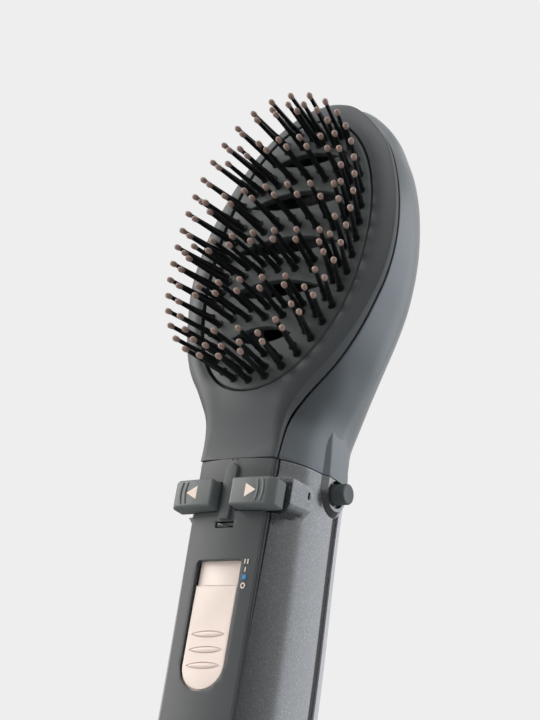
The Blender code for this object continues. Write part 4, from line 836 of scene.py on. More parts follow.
@dataclass(frozen=True)
class HandleOutline:
    """The handle's outside: a squarish oval that changes slowly with height."""

    joint_height: float
    casing_bottom: float
    squareness: float = 2.4
    top: Section = Section(0.0197, 0.0205, -0.0011)
    waist: Section = Section(0.0202, 0.0218, 0.0012)
    end: Section = Section(0.022, 0.0232, 0.0003)
    waist_drop: float = 0.073
    wall: float = 0.0022
    seam_behind_centre: float = 0.0062
    strip_width: float = 0.0039
    strip_sink: float = 0.0005
    panel_half_widths: tuple[float, float, float] = (0.0129, 0.0124, 0.0118)
    panel_sink: float = 0.0005
    panel_crown_radius: float = 0.065
    fit_gap: float = 0.0003

    def blend(self, z: float, top: float, waist: float, end: float) -> float:
        """A size of the handle at a height.

        Args:
            z: the height.
            top: the size at the joint.
            waist: the size at the waist.
            end: the size at the handle's lower end.

        Returns:
            The size at z.
        """
        drop = self.joint_height - z
        if drop <= self.waist_drop:
            return mix(top, waist, ease(drop / self.waist_drop))
        rest = self.joint_height - self.waist_drop
        return mix(waist, end, ease((drop - self.waist_drop) / rest))

    def section(self, z: float) -> Section:
        """The handle's section at a height.

        Args:
            z: the height.

        Returns:
            The section.
        """
        a, b, c = self.top, self.waist, self.end
        return Section(
            self.blend(z, a.half_width, b.half_width, c.half_width),
            self.blend(z, a.half_depth, b.half_depth, c.half_depth),
            self.blend(z, a.shift, b.shift, c.shift),
        )

    def panel_half_width(self, z: float) -> float:
        """Half width of the front panel at height z."""
        return self.blend(z, *self.panel_half_widths)

    def panel_front(self, z: float, x: float = 0.0) -> float:
        """Distance of the panel's face in front of the axis."""
        part, radius = self.section(z), self.panel_crown_radius
        return part.half_depth - part.shift - self.panel_sink - x * x / (2 * radius)

    def half_width_at(self, y: float, z: float) -> float:
        """Half width of the casing's outside.

        Args:
            y: depth.
            z: height.

        Returns:
            The half width.
        """
        part = self.section(z)
        reach = min(abs(y - part.shift) / part.half_depth, 1.0)
        return part.half_width * (1 - reach**self.squareness) ** (1 / self.squareness)

    def seam(self, z: float) -> float:
        """Where the side seam runs at height z."""
        return self.section(z).shift + self.seam_behind_centre

    def ring(self, z: float, grow: float = 0.0, count: int = 128,
             flat: float | None = None, share: float = 1.0) -> Ring:
        """The handle's outline at height z.

        Args:
            z: the height.
            grow: how far outside the handle the ring lies.
            count: how many points it has.
            flat: how far in front of the axis it is cut flat, if at all.
            share: how much of its full size it has.

        Returns:
            The ring's points.
        """
        part = self.section(z)
        power = 2 / self.squareness
        wide, deep = part.half_width * share + grow, part.half_depth * share + grow
        ring = [
            Vector((wide * signed_power(c, power),
                    part.shift + deep * signed_power(s, power), z))
            for c, s in arc(count, math.tau, math.pi / count)[:-1]]
        if flat is not None:
            for point in ring:
                point.y = max(point.y, -flat)
        return ring


@dataclass
class HandleShells:
    """The casing, its rear half, the side strips and the front panel."""

    outline: HandleOutline
    panel_back: float = 0.018
    panel_floor: float = 0.0031
    panel_gap: float = 0.0004
    panel_round: float = 0.0004
    panel_ledge: float = 0.0005
    panel_ledge_drop: float = 0.0009
    edge_round: float = 0.00035
    overrun: float = 0.004
    cut_reach: float = 0.1
    cut_stations: int = 40
    # How far inside the casing's outline the joint's ring of painted shade lies.
    painted_shade_inset: float = 0.0005
    stations: int = 44
    hollow_points: int = 96
    panel_stations: int = 60
    panel_points: int = 17
    boss_centre_y: float = 0.0012
    boss_face_x: float = 0.021
    boss_foot_x: float = 0.019
    boss_root_x: float = 0.015
    boss_half_width: float = 0.0049
    boss_foot_margin: float = 0.0024
    boss_tip_drop: float = 0.0112
    boss_tip_power: float = 1.3
    peg_drop: float = 0.0037
    peg_recess_radius: float = 0.004
    peg_recess_depth: float = 0.0016
    # Drop below the joint, sink of the face and rear end of each row.
    cheek_rows: tuple[tuple[float, float, float], ...] = (
        (0.0174, 0.006, 0.0112), (0.0172, 0.0036, 0.011), (0.015, 0.0011, 0.0099),
        (0.0148, 0.001, 0.0098), (0.0124, 0.0, 0.0086), (0.0122, 0.0, 0.0085),
        (0.011, 0.0, 0.0081), (0.0098, 0.0, 0.0079), (0.0085, 0.0, 0.008),
        (0.0072, 0.0, 0.0086), (0.0062, 0.0, 0.0096), (0.0056, 0.0, 0.0106),
        (0.0052, 0.0, 0.0117), (0.0049, 0.0004, 0.013), (0.0047, 0.006, 0.0132),
    )
    cheek_corner: tuple[float, float] = (0.0177, 0.017)
    cheek_front: float = 0.0188
    cheek_step: float = 0.0009
    cheek_round: float = 0.0006
    cheek_rear: float = 0.0081
    cheek_root_x: float = 0.0125
    cheek_slot_drop: float = 0.0082
    cheek_slot: tuple[float, float, float] = (0.0005, 0.0007, 0.0022)
    notch_face: float = 0.0166
    key_inner_x: float = 0.0032
    key_outer_x: float = 0.0173
    key_face: float = 0.0253
    key_top_drop: float = 0.0072
    key_height: float = 0.0082
    web_half_width: float = 0.0021
    web_foot_half_width: float = 0.0016
    web_height: float = 0.001
    web_top_drop: float = 0.0016
    lens_drop: float = 0.0196
    lens_width: float = 0.0062
    lens_height: float = 0.0019
    lens_frame: float = 0.0007
    window_top_drop: float = 0.0297
    window_length: float = 0.0374
    window_half_width: float = 0.0075
    window_round: float = 0.0009

    @property
    def joint(self) -> float:
        """Height of the joint between handle and head."""
        return self.outline.joint_height

    def heights(self) -> list[float]:
        """Heights of the sections, closer together near the joint.

        Returns:
            The heights, from the bottom.
        """
        low = self.outline.casing_bottom + self.outline.fit_gap
        return [mix(self.joint, low, (k / (self.stations - 1)) ** 1.5)
                for k in reversed(range(self.stations))]

    def prism(self, name: str, section: Callable[[float], Outline]) -> Solid:
        """A cutter along the whole handle.

        Args:
            name: the object's name.
            section: gives the cutter's outline at a height.

        Returns:
            The cutter.
        """
        heights = spread(-self.overrun, self.joint + self.overrun, self.cut_stations)
        return loft(name, [[Vector((x, y, z)) for x, y in section(z)] for z in heights])

    def slab(self, name: str, low: float, high: float | None = None) -> Solid:
        """A slab across the handle between two offsets from its side seam.

        Args:
            name: the object's name.
            low: offset of its front.
            high: offset of its back, or None where it has no end.

        Returns:
            The slab.
        """
        reach = 2 * self.outline.end.half_width

        def section(z: float) -> Outline:
            """The slab's outline.

            Args:
                z: height.

            Returns:
                The outline.
            """
            y = self.outline.seam(z)
            end = 2 * reach if high is None else y + high
            return oblong(-reach, y + low, reach, end)

        return self.prism(name, section)

    def hollow(self) -> Solid:
        """The space inside the casing, flat behind the panel's floor.

        Returns:
            The space as a solid.
        """
        back = self.panel_back - self.panel_floor
        heights = self.heights()
        heights[0] -= self.overrun
        heights[-1] += self.overrun
        return loft("hollow", [
            self.outline.ring(z, -self.outline.wall, self.hollow_points, back)
            for z in heights])

    def boss(self, side: Side, grow: float = 0.0) -> Solid:
        """The raised pad that carries a release peg.

        Args:
            side: which half it is on.
            grow: how much larger than the real one it is, for a cutter.

        Returns:
            The pad as a solid.
        """
        past = self.overrun if grow else 0.0
        centre = self.joint - self.peg_drop
        foot = self.boss_half_width + self.boss_foot_margin
        tip = self.boss_tip_drop - self.peg_drop
        rings = []
        for x, half, low, power in (
            (self.boss_root_x - past, foot, tip, self.boss_tip_power),
            (self.boss_foot_x + grow, foot, tip, self.boss_tip_power),
            (self.boss_face_x + grow, self.boss_half_width, self.boss_half_width, 1.0),
        ):
            reach, top = half + grow, self.joint + past
            ring = [(reach * c, centre - (low + grow) * s**power)
                    for c, s in arc(32, math.pi)]
            rings.append([Vector((side.value * x, self.boss_centre_y + y, z))
                          for y, z in ((reach, top), *ring, (-reach, top))])
        return loft(f"boss_{side.label}", rings)

    def cheek(self, side: Side) -> Solid:
        """The swelling on the casing round the end of a key.

        Its flat outer face runs from a corner at the key to a round rear end on
        the casing's skin, with a steep facet below.

        Args:
            side: which half it is on.

        Returns:
            The swelling as a solid.
        """
        rings = []
        for drop, sink, rear in self.cheek_rows:
            z = self.joint - drop
            skin_x = self.outline.half_width_at(-rear, z)
            corner_x, corner_y = self.cheek_corner
            front = (self.cheek_root_x, -self.cheek_front)
            end = (skin_x + self.cheek_step, -rear)
            wall = [front, *self.bend(front, (corner_x, -corner_y), end),
                    (skin_x - self.outline.fit_gap, -rear + self.cheek_step / 2)]
            ring = [Vector((side.value * self.cheek_root_x, -rear, z))]
            for x, y in wall:
                low = self.outline.half_width_at(y, z) - self.outline.fit_gap
                ring.append(Vector((side.value * max(x - sink, min(x, low)), y, z)))
            rings.append(ring)
        return loft(f"cheek_{side.label}", rings)

    def bend(self, start: tuple[float, float], corner: tuple[float, float],
             end: tuple[float, float]) -> Outline:
        """Points along the cheek's front and face, with its corner rounded.

        Args:
            start: where the front begins.
            corner: the corner, which the round takes off.
            end: where the face ends.

        Returns:
            The round's points, and eight even steps from there to the end.
        """
        curve = rounded([start, corner, end], self.cheek_round, 4)[5:10]
        x, y = curve[-1]
        return curve + [(mix(x, end[0], k / 8), mix(y, end[1], k / 8))
                        for k in range(1, 9)]

    def notch(self, side: Side) -> Solid:
        """Room for one key.

        Args:
            side: which half it is on.

        Returns:
            The room as a solid.
        """
        gap = self.outline.fit_gap
        x0, x1 = sorted((side.value * (self.key_inner_x - gap),
                         side.value * (self.key_outer_x + self.overrun)))
        high = self.joint - self.key_top_drop
        section = oblong(x0, -self.key_face - self.overrun, x1, -self.notch_face)
        return drawn(f"notch_{side.label}", section, Axis.Z,
                     high - self.key_height - gap, high + gap)

    def trough(self, z: float) -> Outline:
        """Outline of the trough that the front panel lies in.

        Args:
            z: height.

        Returns:
            The outline.
        """
        half = self.outline.panel_half_width(z) + self.panel_gap
        return oblong(-half, -2 * self.outline.end.half_depth, half,
                      -self.panel_back + self.outline.fit_gap)

    def build_casing(self) -> None:
        """Builds the front casing with its bosses, cheeks and cuts."""
        body = loft("casing_front", [self.outline.ring(z) for z in self.heights()])
        carve(body, Carve.CUT, [self.slab("rear_cut", -self.outline.strip_width / 2)])
        carve(body, Carve.ADD, [make(side) for side in Side
                                for make in (self.boss, self.cheek)])
        reach = self.cut_reach
        cuts = [
            self.hollow(), self.prism("panel_room", self.trough),
            drawn("top_cut", oblong(-reach, -reach, reach, reach), Axis.Z, self.joint,
                  self.joint + 2 * self.overrun),
        ]
        past = self.boss_face_x + self.overrun
        floor = self.boss_face_x - self.peg_recess_depth
        wide = self.peg_recess_radius
        recess = [
            (0.0, self.boss_root_x), (0.8 * wide, self.boss_root_x),
            (0.8 * wide, floor), (wide, floor), (wide, past), (0.0, past),
        ]
        centre = Vector((0, self.boss_centre_y, self.joint - self.peg_drop))
        depth, wide, tall = self.cheek_slot
        z = self.joint - self.cheek_slot_drop
        y = -self.cheek_rear - 3 * wide
        x = self.outline.half_width_at(-self.cheek_rear, z)
        slot = rounded(oblong(y - wide / 2, z - tall / 2, y + wide / 2, z + tall / 2),
                       wide / 2)
        for side in Side:
            ends = sorted((side.value * (x - depth), side.value * (x + self.overrun)))
            cuts += [
                self.notch(side),
                turned(f"recess_{side.label}", recess, centre,
                       Vector((side.value, 0, 0)), 48),
                drawn(f"slot_{side.label}", slot, Axis.X, *ends),
            ]
        carve(body, Carve.CUT, cuts)
        dress(shade(soften(body, self.edge_round)), "handle", PEARL_ABS,
              ["front_casing"])

    def build_painted_shade_ring(self) -> None:
        """Builds the low black ring that closes the joint under the head; its black is
        painted shade for the joint's gap.
        """
        gap = self.outline.fit_gap
        rings = [self.outline.ring(z, -self.painted_shade_inset)
                 for z in (self.joint - 2 * gap, self.joint + gap * 0.8)]
        painted_shade_ring = carve(loft("joint_painted_shade", rings), Carve.CUT, [self.hollow()])
        dress(shade(painted_shade_ring), "handle", STRIP_AND_SHADE_TPE)

    def band(self, name: str, low: float, high: float | None, grow: float) -> Solid:
        """A shell of the handle's wall between two offsets from the seam.

        Args:
            name: the object's name.
            low: offset of its front.
            high: offset of its back, or None where it has no end.
            grow: how far outside the handle it lies.

        Returns:
            The shell.
        """
        body = loft(name, [self.outline.ring(z, grow) for z in self.heights()])
        carve(body, Carve.KEEP, [self.slab("band_part", low, high)])
        carve(body, Carve.CUT, [self.hollow()])
        return carve(body, Carve.CUT, [
            self.boss(side, self.outline.fit_gap) for side in Side])

    def build_rear(self) -> None:
        """Builds the rear casing and the two side strips."""
        half = self.outline.strip_width / 2
        gap = self.outline.fit_gap
        rear = self.band("casing_rear", half, None, 0.0)
        dress(shade(soften(rear, self.edge_round)), "handle", PALE_ABS, ["rear_casing"])
        both = self.band("strip_both", gap - half, half - gap, -self.outline.strip_sink)
        for side in Side:
            bm = bmesh.new()
            bm.from_mesh(both.data)
            bmesh.ops.delete(bm, context="VERTS", geom=[
                v for v in bm.verts if v.co.x * side.value < 0])
            strip = soften(link(f"side_strip_{side.label}", bm), self.edge_round / 2)
            dress(shade(strip), "handle", STRIP_AND_SHADE_TPE, [f"seam_strip_{side.label}"])
        bpy.data.objects.remove(both)

    def panel_ring(self, z: float) -> Ring:
        """The panel's section: a crowned face with round edges and a ledge.

        Args:
            z: its height.

        Returns:
            The section's points.
        """
        half = self.outline.panel_half_width(z)
        edge = half - self.panel_ledge
        flat = edge - self.panel_round
        face = [(x, -self.outline.panel_front(z, x))
                for x in spread(-flat, flat, self.panel_points)]
        corner = -self.outline.panel_front(z, flat)
        ledge = corner + self.panel_ledge_drop
        right = [(flat + self.panel_round * s, corner + self.panel_round * (1 - c))
                 for c, s in arc(5)[1:]]
        right += [(edge, ledge), (half, ledge + self.panel_ledge / 4),
                  (half, -self.panel_back)]
        left = [(-x, y) for x, y in reversed(right)]
        return [Vector((x, y, z)) for x, y in face + right + left]

    def window(self, grow: float = 0.0) -> Outline:
        """The slider's window: square on top, round below.

        Args:
            grow: how far outside the real one the outline lies.

        Returns:
            Its outline in (x, z).
        """
        half = self.window_half_width + grow
        high = self.joint - self.window_top_drop
        top = high + grow - self.window_round
        outline = []
        for x, start in ((half - self.window_round, 0.0),
                         (self.window_round - half, math.pi / 2)):
            outline += [(x + self.window_round * c, top + self.window_round * s)
                        for c, s in arc(4, start=start)]
        centre = high - self.window_length + self.window_half_width
        return outline + [(half * c, centre + half * s)
                          for c, s in arc(24, math.pi, math.pi)]

    def build_panel(self) -> None:
        """Builds the front panel with its web, its frame and its windows."""
        front, gap = self.outline.panel_front, self.outline.fit_gap
        back = -self.panel_back
        low = self.outline.casing_bottom + gap
        body = loft("panel_front", [
            self.panel_ring(z) for z in spread(low, self.joint, self.panel_stations)])
        lens_z = self.joint - self.lens_drop
        web_top = self.joint - self.web_top_drop
        web_low = lens_z + self.lens_height / 2 + self.lens_frame / 2
        face = -front(web_top) - self.web_height
        foot, wide = self.web_foot_half_width, self.web_half_width
        web = [(-foot, web_low), (foot, web_low)]
        web += [(wide * c, web_top - wide * (1 - s)) for c, s in arc(12, math.pi)]
        half, tall = self.lens_width / 2, self.lens_height / 2
        pane = rounded(oblong(-half, lens_z - tall, half, lens_z + tall),
                       self.lens_frame / 2)
        carve(body, Carve.ADD, [drawn("web", web, Axis.Y, face, back - self.panel_round,
                                      self.web_height * 0.45)])
        carve(body, Carve.CUT, [
            self.notch(Side.LEFT), self.notch(Side.RIGHT),
            drawn("window", self.window(), Axis.Y, -self.cut_reach, 0.0),
            drawn("lens_hole", pane, Axis.Y, -self.cut_reach, back + self.overrun),
        ])
        dress(shade(soften(body, self.edge_round * 0.7)), "handle", PANEL_ABS,
              ["front_panel"])
        # A thin black sleeve on the slider window's wall, from just under the panel's
        # face to its back: painted shade.
        rim = front(self.joint - self.outline.waist_drop, self.window_half_width)
        painted_shade_sleeve = drawn("window_painted_shade", self.window(-gap / 10), Axis.Y, 3 * gap - rim,
                      back)
        carve(painted_shade_sleeve, Carve.CUT, [
            drawn("room", self.window(-gap / 2), Axis.Y, -self.cut_reach, 0.0)])
        dress(shade(painted_shade_sleeve), "handle", STRIP_AND_SHADE_TPE)
        lens_face = gap - front(lens_z)
        glass = drawn("lens_glass", inset_outline(pane, gap), Axis.Y, lens_face,
                      lens_face + 3 * self.web_height, gap / 2)
        dress(shade(glass), "handle", LENS_ACRYLIC, ["ion_window"])

    def build(self) -> None:
        """Builds every shell of the handle."""
        self.build_casing()
        self.build_painted_shade_ring()
        self.build_rear()
        self.build_panel()


@dataclass
class Controls:
    """The slider, the two direction keys, the pegs and the printed marks."""

    shells: HandleShells
    key_corner_x: float = 0.0154
    key_corner_face: float = 0.0249
    key_shoulder_face: float = 0.0232
    key_skirt_face: float = 0.0185
    key_round: float = 0.0007
    rib_height: float = 0.0003
    rib_half_width: float = 0.0004
    rib_pitch: float = 0.0017
    rib_inset: float = 0.0022
    arrow_x: float = 0.01
    arrow_half_height: float = 0.002
    arrow_length: float = 0.0035
    ink: float = 0.00006
    thumb_top_drop: float = 0.0368
    thumb_proud: float = -0.0008
    thumb_round: float = 0.0003
    step_depth: float = 0.0014
    carrier_margin: float = 0.0007
    travel: float = 0.0065
    ridge_first_drop: float = 0.0509
    ridge_pitch: float = 0.00443
    ridge_half_length: float = 0.0053
    ridge_half_height: float = 0.00075
    ridge_proud: float = 0.0006
    ridge_end_share: float = 0.0004
    peg_radius: float = 0.003
    peg_proud: float = 0.004
    peg_round: float = 0.00045
    peg_root_x: float = 0.0156
    mark_x: float = 0.0091
    mark_stroke: float = 0.0003
    mark_half_height: float = 0.00068
    mark_pair_offset: float = 0.0005
    star_reach: float = 0.00095
    star_core: float = 0.00045
    zero_half_size: tuple[float, float] = (0.00058, 0.00072)
    mark_drops: tuple[float, float, float, float] = (0.0304, 0.0327, 0.0349, 0.0373)

    def build_key(self, side: Side) -> None:
        """Builds one key with its grip ribs and its arrow.

        Args:
            side: which half it is on.
        """
        shells = self.shells
        high = shells.joint - shells.key_top_drop
        low = high - shells.key_height
        middle = (low + high) / 2
        inner, outer, corner = shells.key_inner_x, shells.key_outer_x, self.key_corner_x
        face = -shells.key_face
        corners = [
            (inner, -self.key_skirt_face), (inner, face),
            (mix(inner, corner, 0.5), face), (corner, -self.key_corner_face),
            (outer, -self.key_shoulder_face), (outer, -self.key_skirt_face),
        ]
        outline = [(side.value * x, y) for x, y in rounded(corners, self.key_round)]
        pieces = [drawn("key", outline, Axis.Z, low, high, self.key_round,
                        self.key_round, 5)]
        margin = 1.4 * self.key_round
        for k in range(2):
            x0 = corner - self.rib_inset - k * self.rib_pitch
            rings = []
            for z in spread(low + margin, high - margin, 17):
                share = (z - middle) / (shells.key_height / 2)
                x = x0 + self.rib_pitch / 2 * (1 - share**2)
                fall = max(2 * (x - inner) / (corner - inner) - 1, 0.0)
                skin = -mix(shells.key_face, self.key_corner_face, fall)
                lift = self.rib_height * math.sqrt(max(1 - share**4, 0.0))
                ring = [(x + self.rib_half_width * c, skin - lift * s)
                        for c, s in arc(6, math.pi)]
                ring.append((x, skin + self.rib_height))
                rings.append([Vector((side.value * a, b, z)) for a, b in ring])
            pieces.append(loft("rib", rings))
        body = f"direction_button_{side.label}"
        dress(shade(fuse(f"key_{side.label}", pieces), 28.0), body, KEY_ABS, [body])
        x, half, long = self.arrow_x, self.arrow_half_height, self.arrow_length / 2
        arrow = rounded([(x - long, middle - half), (x + long, middle),
                         (x - long, middle + half)], self.rib_height / 2)
        mark = drawn(f"arrow_{side.label}", [(side.value * a, b) for a, b in arrow],
                     Axis.Y, face - self.ink, face + 2 * self.ink)
        dress(shade(mark), body, CREAM_INK)

    def build_slider(self) -> None:
        """Builds the thumb piece with its ridges, on its thin upper plate."""
        shells = self.shells
        gap = shells.outline.fit_gap
        top = shells.joint - shells.window_top_drop
        thumb_top = shells.joint - self.thumb_top_drop
        middle = top - shells.window_length / 2
        plate = shells.outline.panel_front(middle) - self.step_depth
        face = -(plate + self.step_depth + self.thumb_proud)
        outline = [(x, min(z, thumb_top)) for x, z in shells.window(-1.8 * gap)]
        thumb = drawn("thumb", outline, Axis.Y, face, -shells.panel_back,
                      self.thumb_round, 0.0, 6)
        reach, tall, proud = (self.ridge_half_length, self.ridge_half_height,
                              self.ridge_proud)
        lens = [((reach + gap) * c, (tall + gap) * signed_power(s, 1.5))
                for c, s in arc(32, math.tau)[:-1]]
        grooves, ridges = [], []
        for k in range(3):
            z = shells.joint - self.ridge_first_drop - k * self.ridge_pitch
            grooves.append(drawn("groove", [(a, b + z) for a, b in lens], Axis.Y,
                                 face - proud, face + proud * 0.7))
            rings = []
            for x in spread(-reach, reach, 25):
                share = math.sqrt(max(1 - (x / reach) ** 2, self.ridge_end_share))
                ring = [Vector((x, face - proud * (share * s - 0.3),
                                z + tall * share**1.5 * c)) for c, s in arc(8, math.pi)]
                rings.append([*ring, Vector((x, face + proud, z))])
            ridges.append(loft("ridge", rings))
        margin = self.carrier_margin
        wide = shells.window_half_width - margin
        bottom = top - shells.window_length - self.travel - margin
        carrier = drawn("carrier", oblong(-wide, bottom, wide, top + margin), Axis.Y,
                        -plate, -shells.panel_back, self.ink, 0.0, 2)
        slider = fuse("slider_thumb",
                      [carve(thumb, Carve.CUT, grooves), carrier, *ridges])
        dress(shade(slider, 35.0), "power_slider", ROSE_ABS, ["power_slider"])

    def build_peg(self, side: Side) -> None:
        """Builds one release peg: a round-edged pin with a shallow dish.

        Args:
            side: which half it is on.
        """
        shells = self.shells
        tip = shells.boss_face_x + self.peg_proud
        soft = self.peg_round
        profile = [(0.0, self.peg_root_x), (self.peg_radius, self.peg_root_x)]
        profile += [(self.peg_radius - soft * (1 - c), tip - soft * (1 - s))
                    for c, s in arc(4)]
        profile += [(self.peg_radius * 0.6, tip - soft / 8), (0.0, tip - soft / 3)]
        centre = Vector((0, shells.boss_centre_y, shells.joint - shells.peg_drop))
        peg = turned(f"peg_{side.label}", profile, centre,
                     Vector((side.value, 0, 0)), 48)
        body = f"release_button_{side.label}"
        dress(shade(peg), body, PEG_NYLON, [body])

    def print_mark(self, name: str, strokes: Sequence[Outline], finish: Finish) -> None:
        """Prints one mark beside the slider, as thin raised ink.

        Args:
            name: the mark's name.
            strokes: outlines of its strokes in (x, z).
            finish: its ink.
        """
        pieces = []
        for stroke in strokes:
            face = -self.shells.outline.panel_front(stroke[0][1], self.mark_x)
            pieces.append(drawn(name, stroke, Axis.Y, face - 2 * self.ink,
                                face + self.mark_stroke))
        dress(shade(fuse(name, pieces)), "handle", finish)

    def build_marks(self) -> None:
        """Prints II, I, the star and 0 to the right of the slider's window."""
        half, tall = self.mark_stroke / 2, self.mark_half_height
        x0, apart = self.mark_x, self.mark_pair_offset
        two, one, star, zero = (self.shells.joint - drop for drop in self.mark_drops)

        def bar(x: float, z: float) -> Outline:
            """One upright stroke."""
            return oblong(x - half, z - tall, x + half, z + tall)

        self.print_mark("mark_two", [bar(x0 - apart, two), bar(x0 + apart, two)],
                        CREAM_INK)
        self.print_mark("mark_one", [bar(x0, one)], CREAM_INK)
        thin = half * 0.8
        arm = oblong(-self.star_reach, -thin, self.star_reach, thin)
        strokes = [[(x0 + a * c - b * s, star + a * s + b * c) for a, b in arm]
                   for c, s in arc(4, math.pi)[:-1]]
        strokes.append([(x0 + self.star_core * c, star + self.star_core * s)
                        for c, s in arc(12, math.tau)[:-1]])
        self.print_mark("mark_star", strokes, BLUE_INK)
        wide, high = self.zero_half_size
        outer, inner = (
            [(x0 + (wide + grow) * c, zero + (high + grow) * s)
             for c, s in arc(20, math.tau)] for grow in (half, -half))
        self.print_mark("mark_zero", [
            [outer[k], outer[k + 1], inner[k + 1], inner[k]] for k in range(20)],
            CREAM_INK)

    def build(self) -> None:
        """Builds every control."""
        for side in Side:
            self.build_key(side)
            self.build_peg(side)
        self.build_slider()
        self.build_marks()


@dataclass(frozen=True)
class HeadOutline:
    """The head's shape in its own leaning frame, from its pivot up."""

    joint_height: float
    pivot_drop: float = 0.0026
    tilt: float = math.radians(7.6)
    length: float = 0.1252
    half_width: float = 0.0346
    seam_front: float = 0.0186
    front_depth: float = 0.0072
    front_squareness: float = 2.45
    face_turn: float = 0.95
    back_depth: float = 0.0192
    rear_half_width: float = 0.0347
    rear_centre: float = 0.011
    rear_squareness: float = 2.3
    rear_lift: float = 0.0008
    crease_y: float = -0.0008
    crease_slope: float = 0.24
    crease_reach: float = 0.008
    crease_shares: Shares = (
        (0.0, 0.0), (0.1, 0.0), (0.14, 1.0), (0.3, 1.0), (0.36, 0.6), (0.42, 0.0),
        (1.0, 0.0),
    )
    wall: float = 0.002
    seam_gap: float = 0.0008
    fit_gap: float = 0.0003
    width_shares: Shares = (
        (0.0, 0.372), (0.07, 0.38), (0.11, 0.41), (0.145, 0.475), (0.18, 0.552),
        (0.215, 0.645), (0.25, 0.723), (0.3, 0.809), (0.35, 0.876), (0.41, 0.936),
        (0.47, 0.983), (0.54, 1.0), (0.61, 0.983), (0.67, 0.945), (0.71, 0.91),
        (0.76, 0.853), (0.82, 0.765), (0.866, 0.675), (0.911, 0.545), (0.949, 0.41),
        (0.982, 0.255), (1.0, 0.08),
    )
    depth_shares: Shares = (
        (0.0, 0.2), (0.03, 0.24), (0.08, 0.42), (0.13, 0.68), (0.18, 0.88),
        (0.25, 0.97), (0.5, 1.0), (0.75, 0.98), (0.88, 0.92), (0.94, 0.78),
        (0.98, 0.5), (1.0, 0.2),
    )
    seam_shares: Shares = (
        (0.0, 1.05), (0.1, 1.05), (0.3, 1.01), (0.5, 1.0), (0.7, 1.0),
        (0.85, 1.0), (1.0, 1.02),
    )
    rear_width_shares: Shares = (
        (0.0, 0.573), (0.05, 0.566), (0.1, 0.56), (0.145, 0.585), (0.2, 0.66),
        (0.25, 0.735), (0.3, 0.815), (0.35, 0.88), (0.41, 0.938), (0.47, 0.984),
        (0.54, 1.0), (0.61, 0.984), (0.67, 0.949), (0.71, 0.918), (0.76, 0.87),
        (0.82, 0.79), (0.866, 0.705), (0.917, 0.6), (0.96, 0.452), (0.99, 0.306),
        (1.0, 0.204),
    )
    back_shares: Shares = (
        (0.0, 1.0), (0.1, 0.948), (0.2, 0.896), (0.335, 0.75), (0.5, 0.65),
        (0.65, 0.61), (0.75, 0.56), (0.85, 0.44), (0.92, 0.24), (0.97, -0.02),
        (1.0, -0.36),
    )
    centre_shares: Shares = (
        (0.0, 0.11), (0.1, 0.14), (0.2, 0.45), (0.335, 0.82), (0.5, 1.0),
        (0.7, 1.05), (0.85, 1.1), (0.95, 1.15), (1.0, 1.2),
    )
    square_shares: Shares = (
        (0.0, 1.8), (0.15, 1.8), (0.25, 1.5), (0.4, 1.1), (0.6, 1.0), (1.0, 1.0),
    )

    @property
    def place(self) -> Matrix:
        """The head's frame in the world."""
        origin = Vector((0, 0, self.joint_height - self.pivot_drop))
        return Matrix.Translation(origin) @ Matrix.Rotation(-self.tilt, 4, "X")

    def width(self, z: float) -> float:
        """Half width of the head at its seam."""
        return self.half_width * along(self.width_shares, z / self.length)

    def seam(self, z: float) -> float:
        """How far in front of the axis the seam runs."""
        return self.seam_front * along(self.seam_shares, z / self.length)

    def face(self, x: float, z: float) -> float:
        """The front shell's face: a dome that ends in a slope.

        Args:
            x: how far right of the middle.
            z: height in the head's frame.

        Returns:
            The face's y there.
        """
        t = z / self.length
        depth = self.front_depth * along(self.depth_shares, t)
        n = self.front_squareness * along(self.square_shares, t)
        reach = min(abs(x) / self.width(z), 1.0)
        turn = min(reach, self.face_turn)
        rest = 1 - turn**n
        dome = rest ** (1 / n) - (reach - turn) * turn ** (n - 1) * rest ** (1 / n - 1)
        return -self.seam(z) - depth * dome

    def fold(self, y: float, z: float) -> float:
        """How far the rear shell's flank turns in behind its crease.

        Args:
            y: depth in the head's frame.
            z: height in it.

        Returns:
            The distance.
        """
        share = min(max(along(self.crease_shares, z / self.length), 0.0), 1.0)
        past = max(y - self.crease_y, 0.0)
        return self.crease_slope * share * past * math.exp(-past / self.crease_reach)

    def rear_ring(self, z: float, count: int = 110, skirt: int = 9) -> Ring:
        """The rear shell's section, from the seam round the back.

        Args:
            z: height in the head's frame.
            count: spans round the back.
            skirt: points on each side between the widest place and the seam.

        Returns:
            The open ring, from the right seam to the left one.
        """
        z_read = min(max(z, 0.0), self.length)
        t = z_read / self.length
        edge = self.width(z_read)
        half = max(self.rear_half_width * along(self.rear_width_shares, t), edge)
        centre = -self.rear_centre * along(self.centre_shares, t)
        back = max(self.back_depth * along(self.back_shares, t) - centre,
                   self.wall / 2)
        seam = -self.seam(z_read) + self.seam_gap
        n = self.rear_squareness
        share = min(edge / half, 0.995)
        front = (centre - seam) / (1 - share**n) ** (1 / n)
        points = []
        for k in range(skirt, 0, -1):
            y = mix(centre, seam, k / skirt)
            reach = min((centre - y) / front, 1.0)
            points.append((half * (1 - reach**n) ** (1 / n), y))
        mirror = [(-x, y) for x, y in reversed(points)]
        points += [(half * signed_power(c, 2 / n), centre + back * s ** (2 / n))
                   for c, s in arc(count, math.pi)]
        points = [(x - math.copysign(min(self.fold(y, z_read), abs(x)), x), y)
                  for x, y in points + mirror]
        lift = self.rear_lift * t**3
        return [Vector((x, y, z + lift * ease((y - seam) / (centre - seam))))
                for x, y in points]

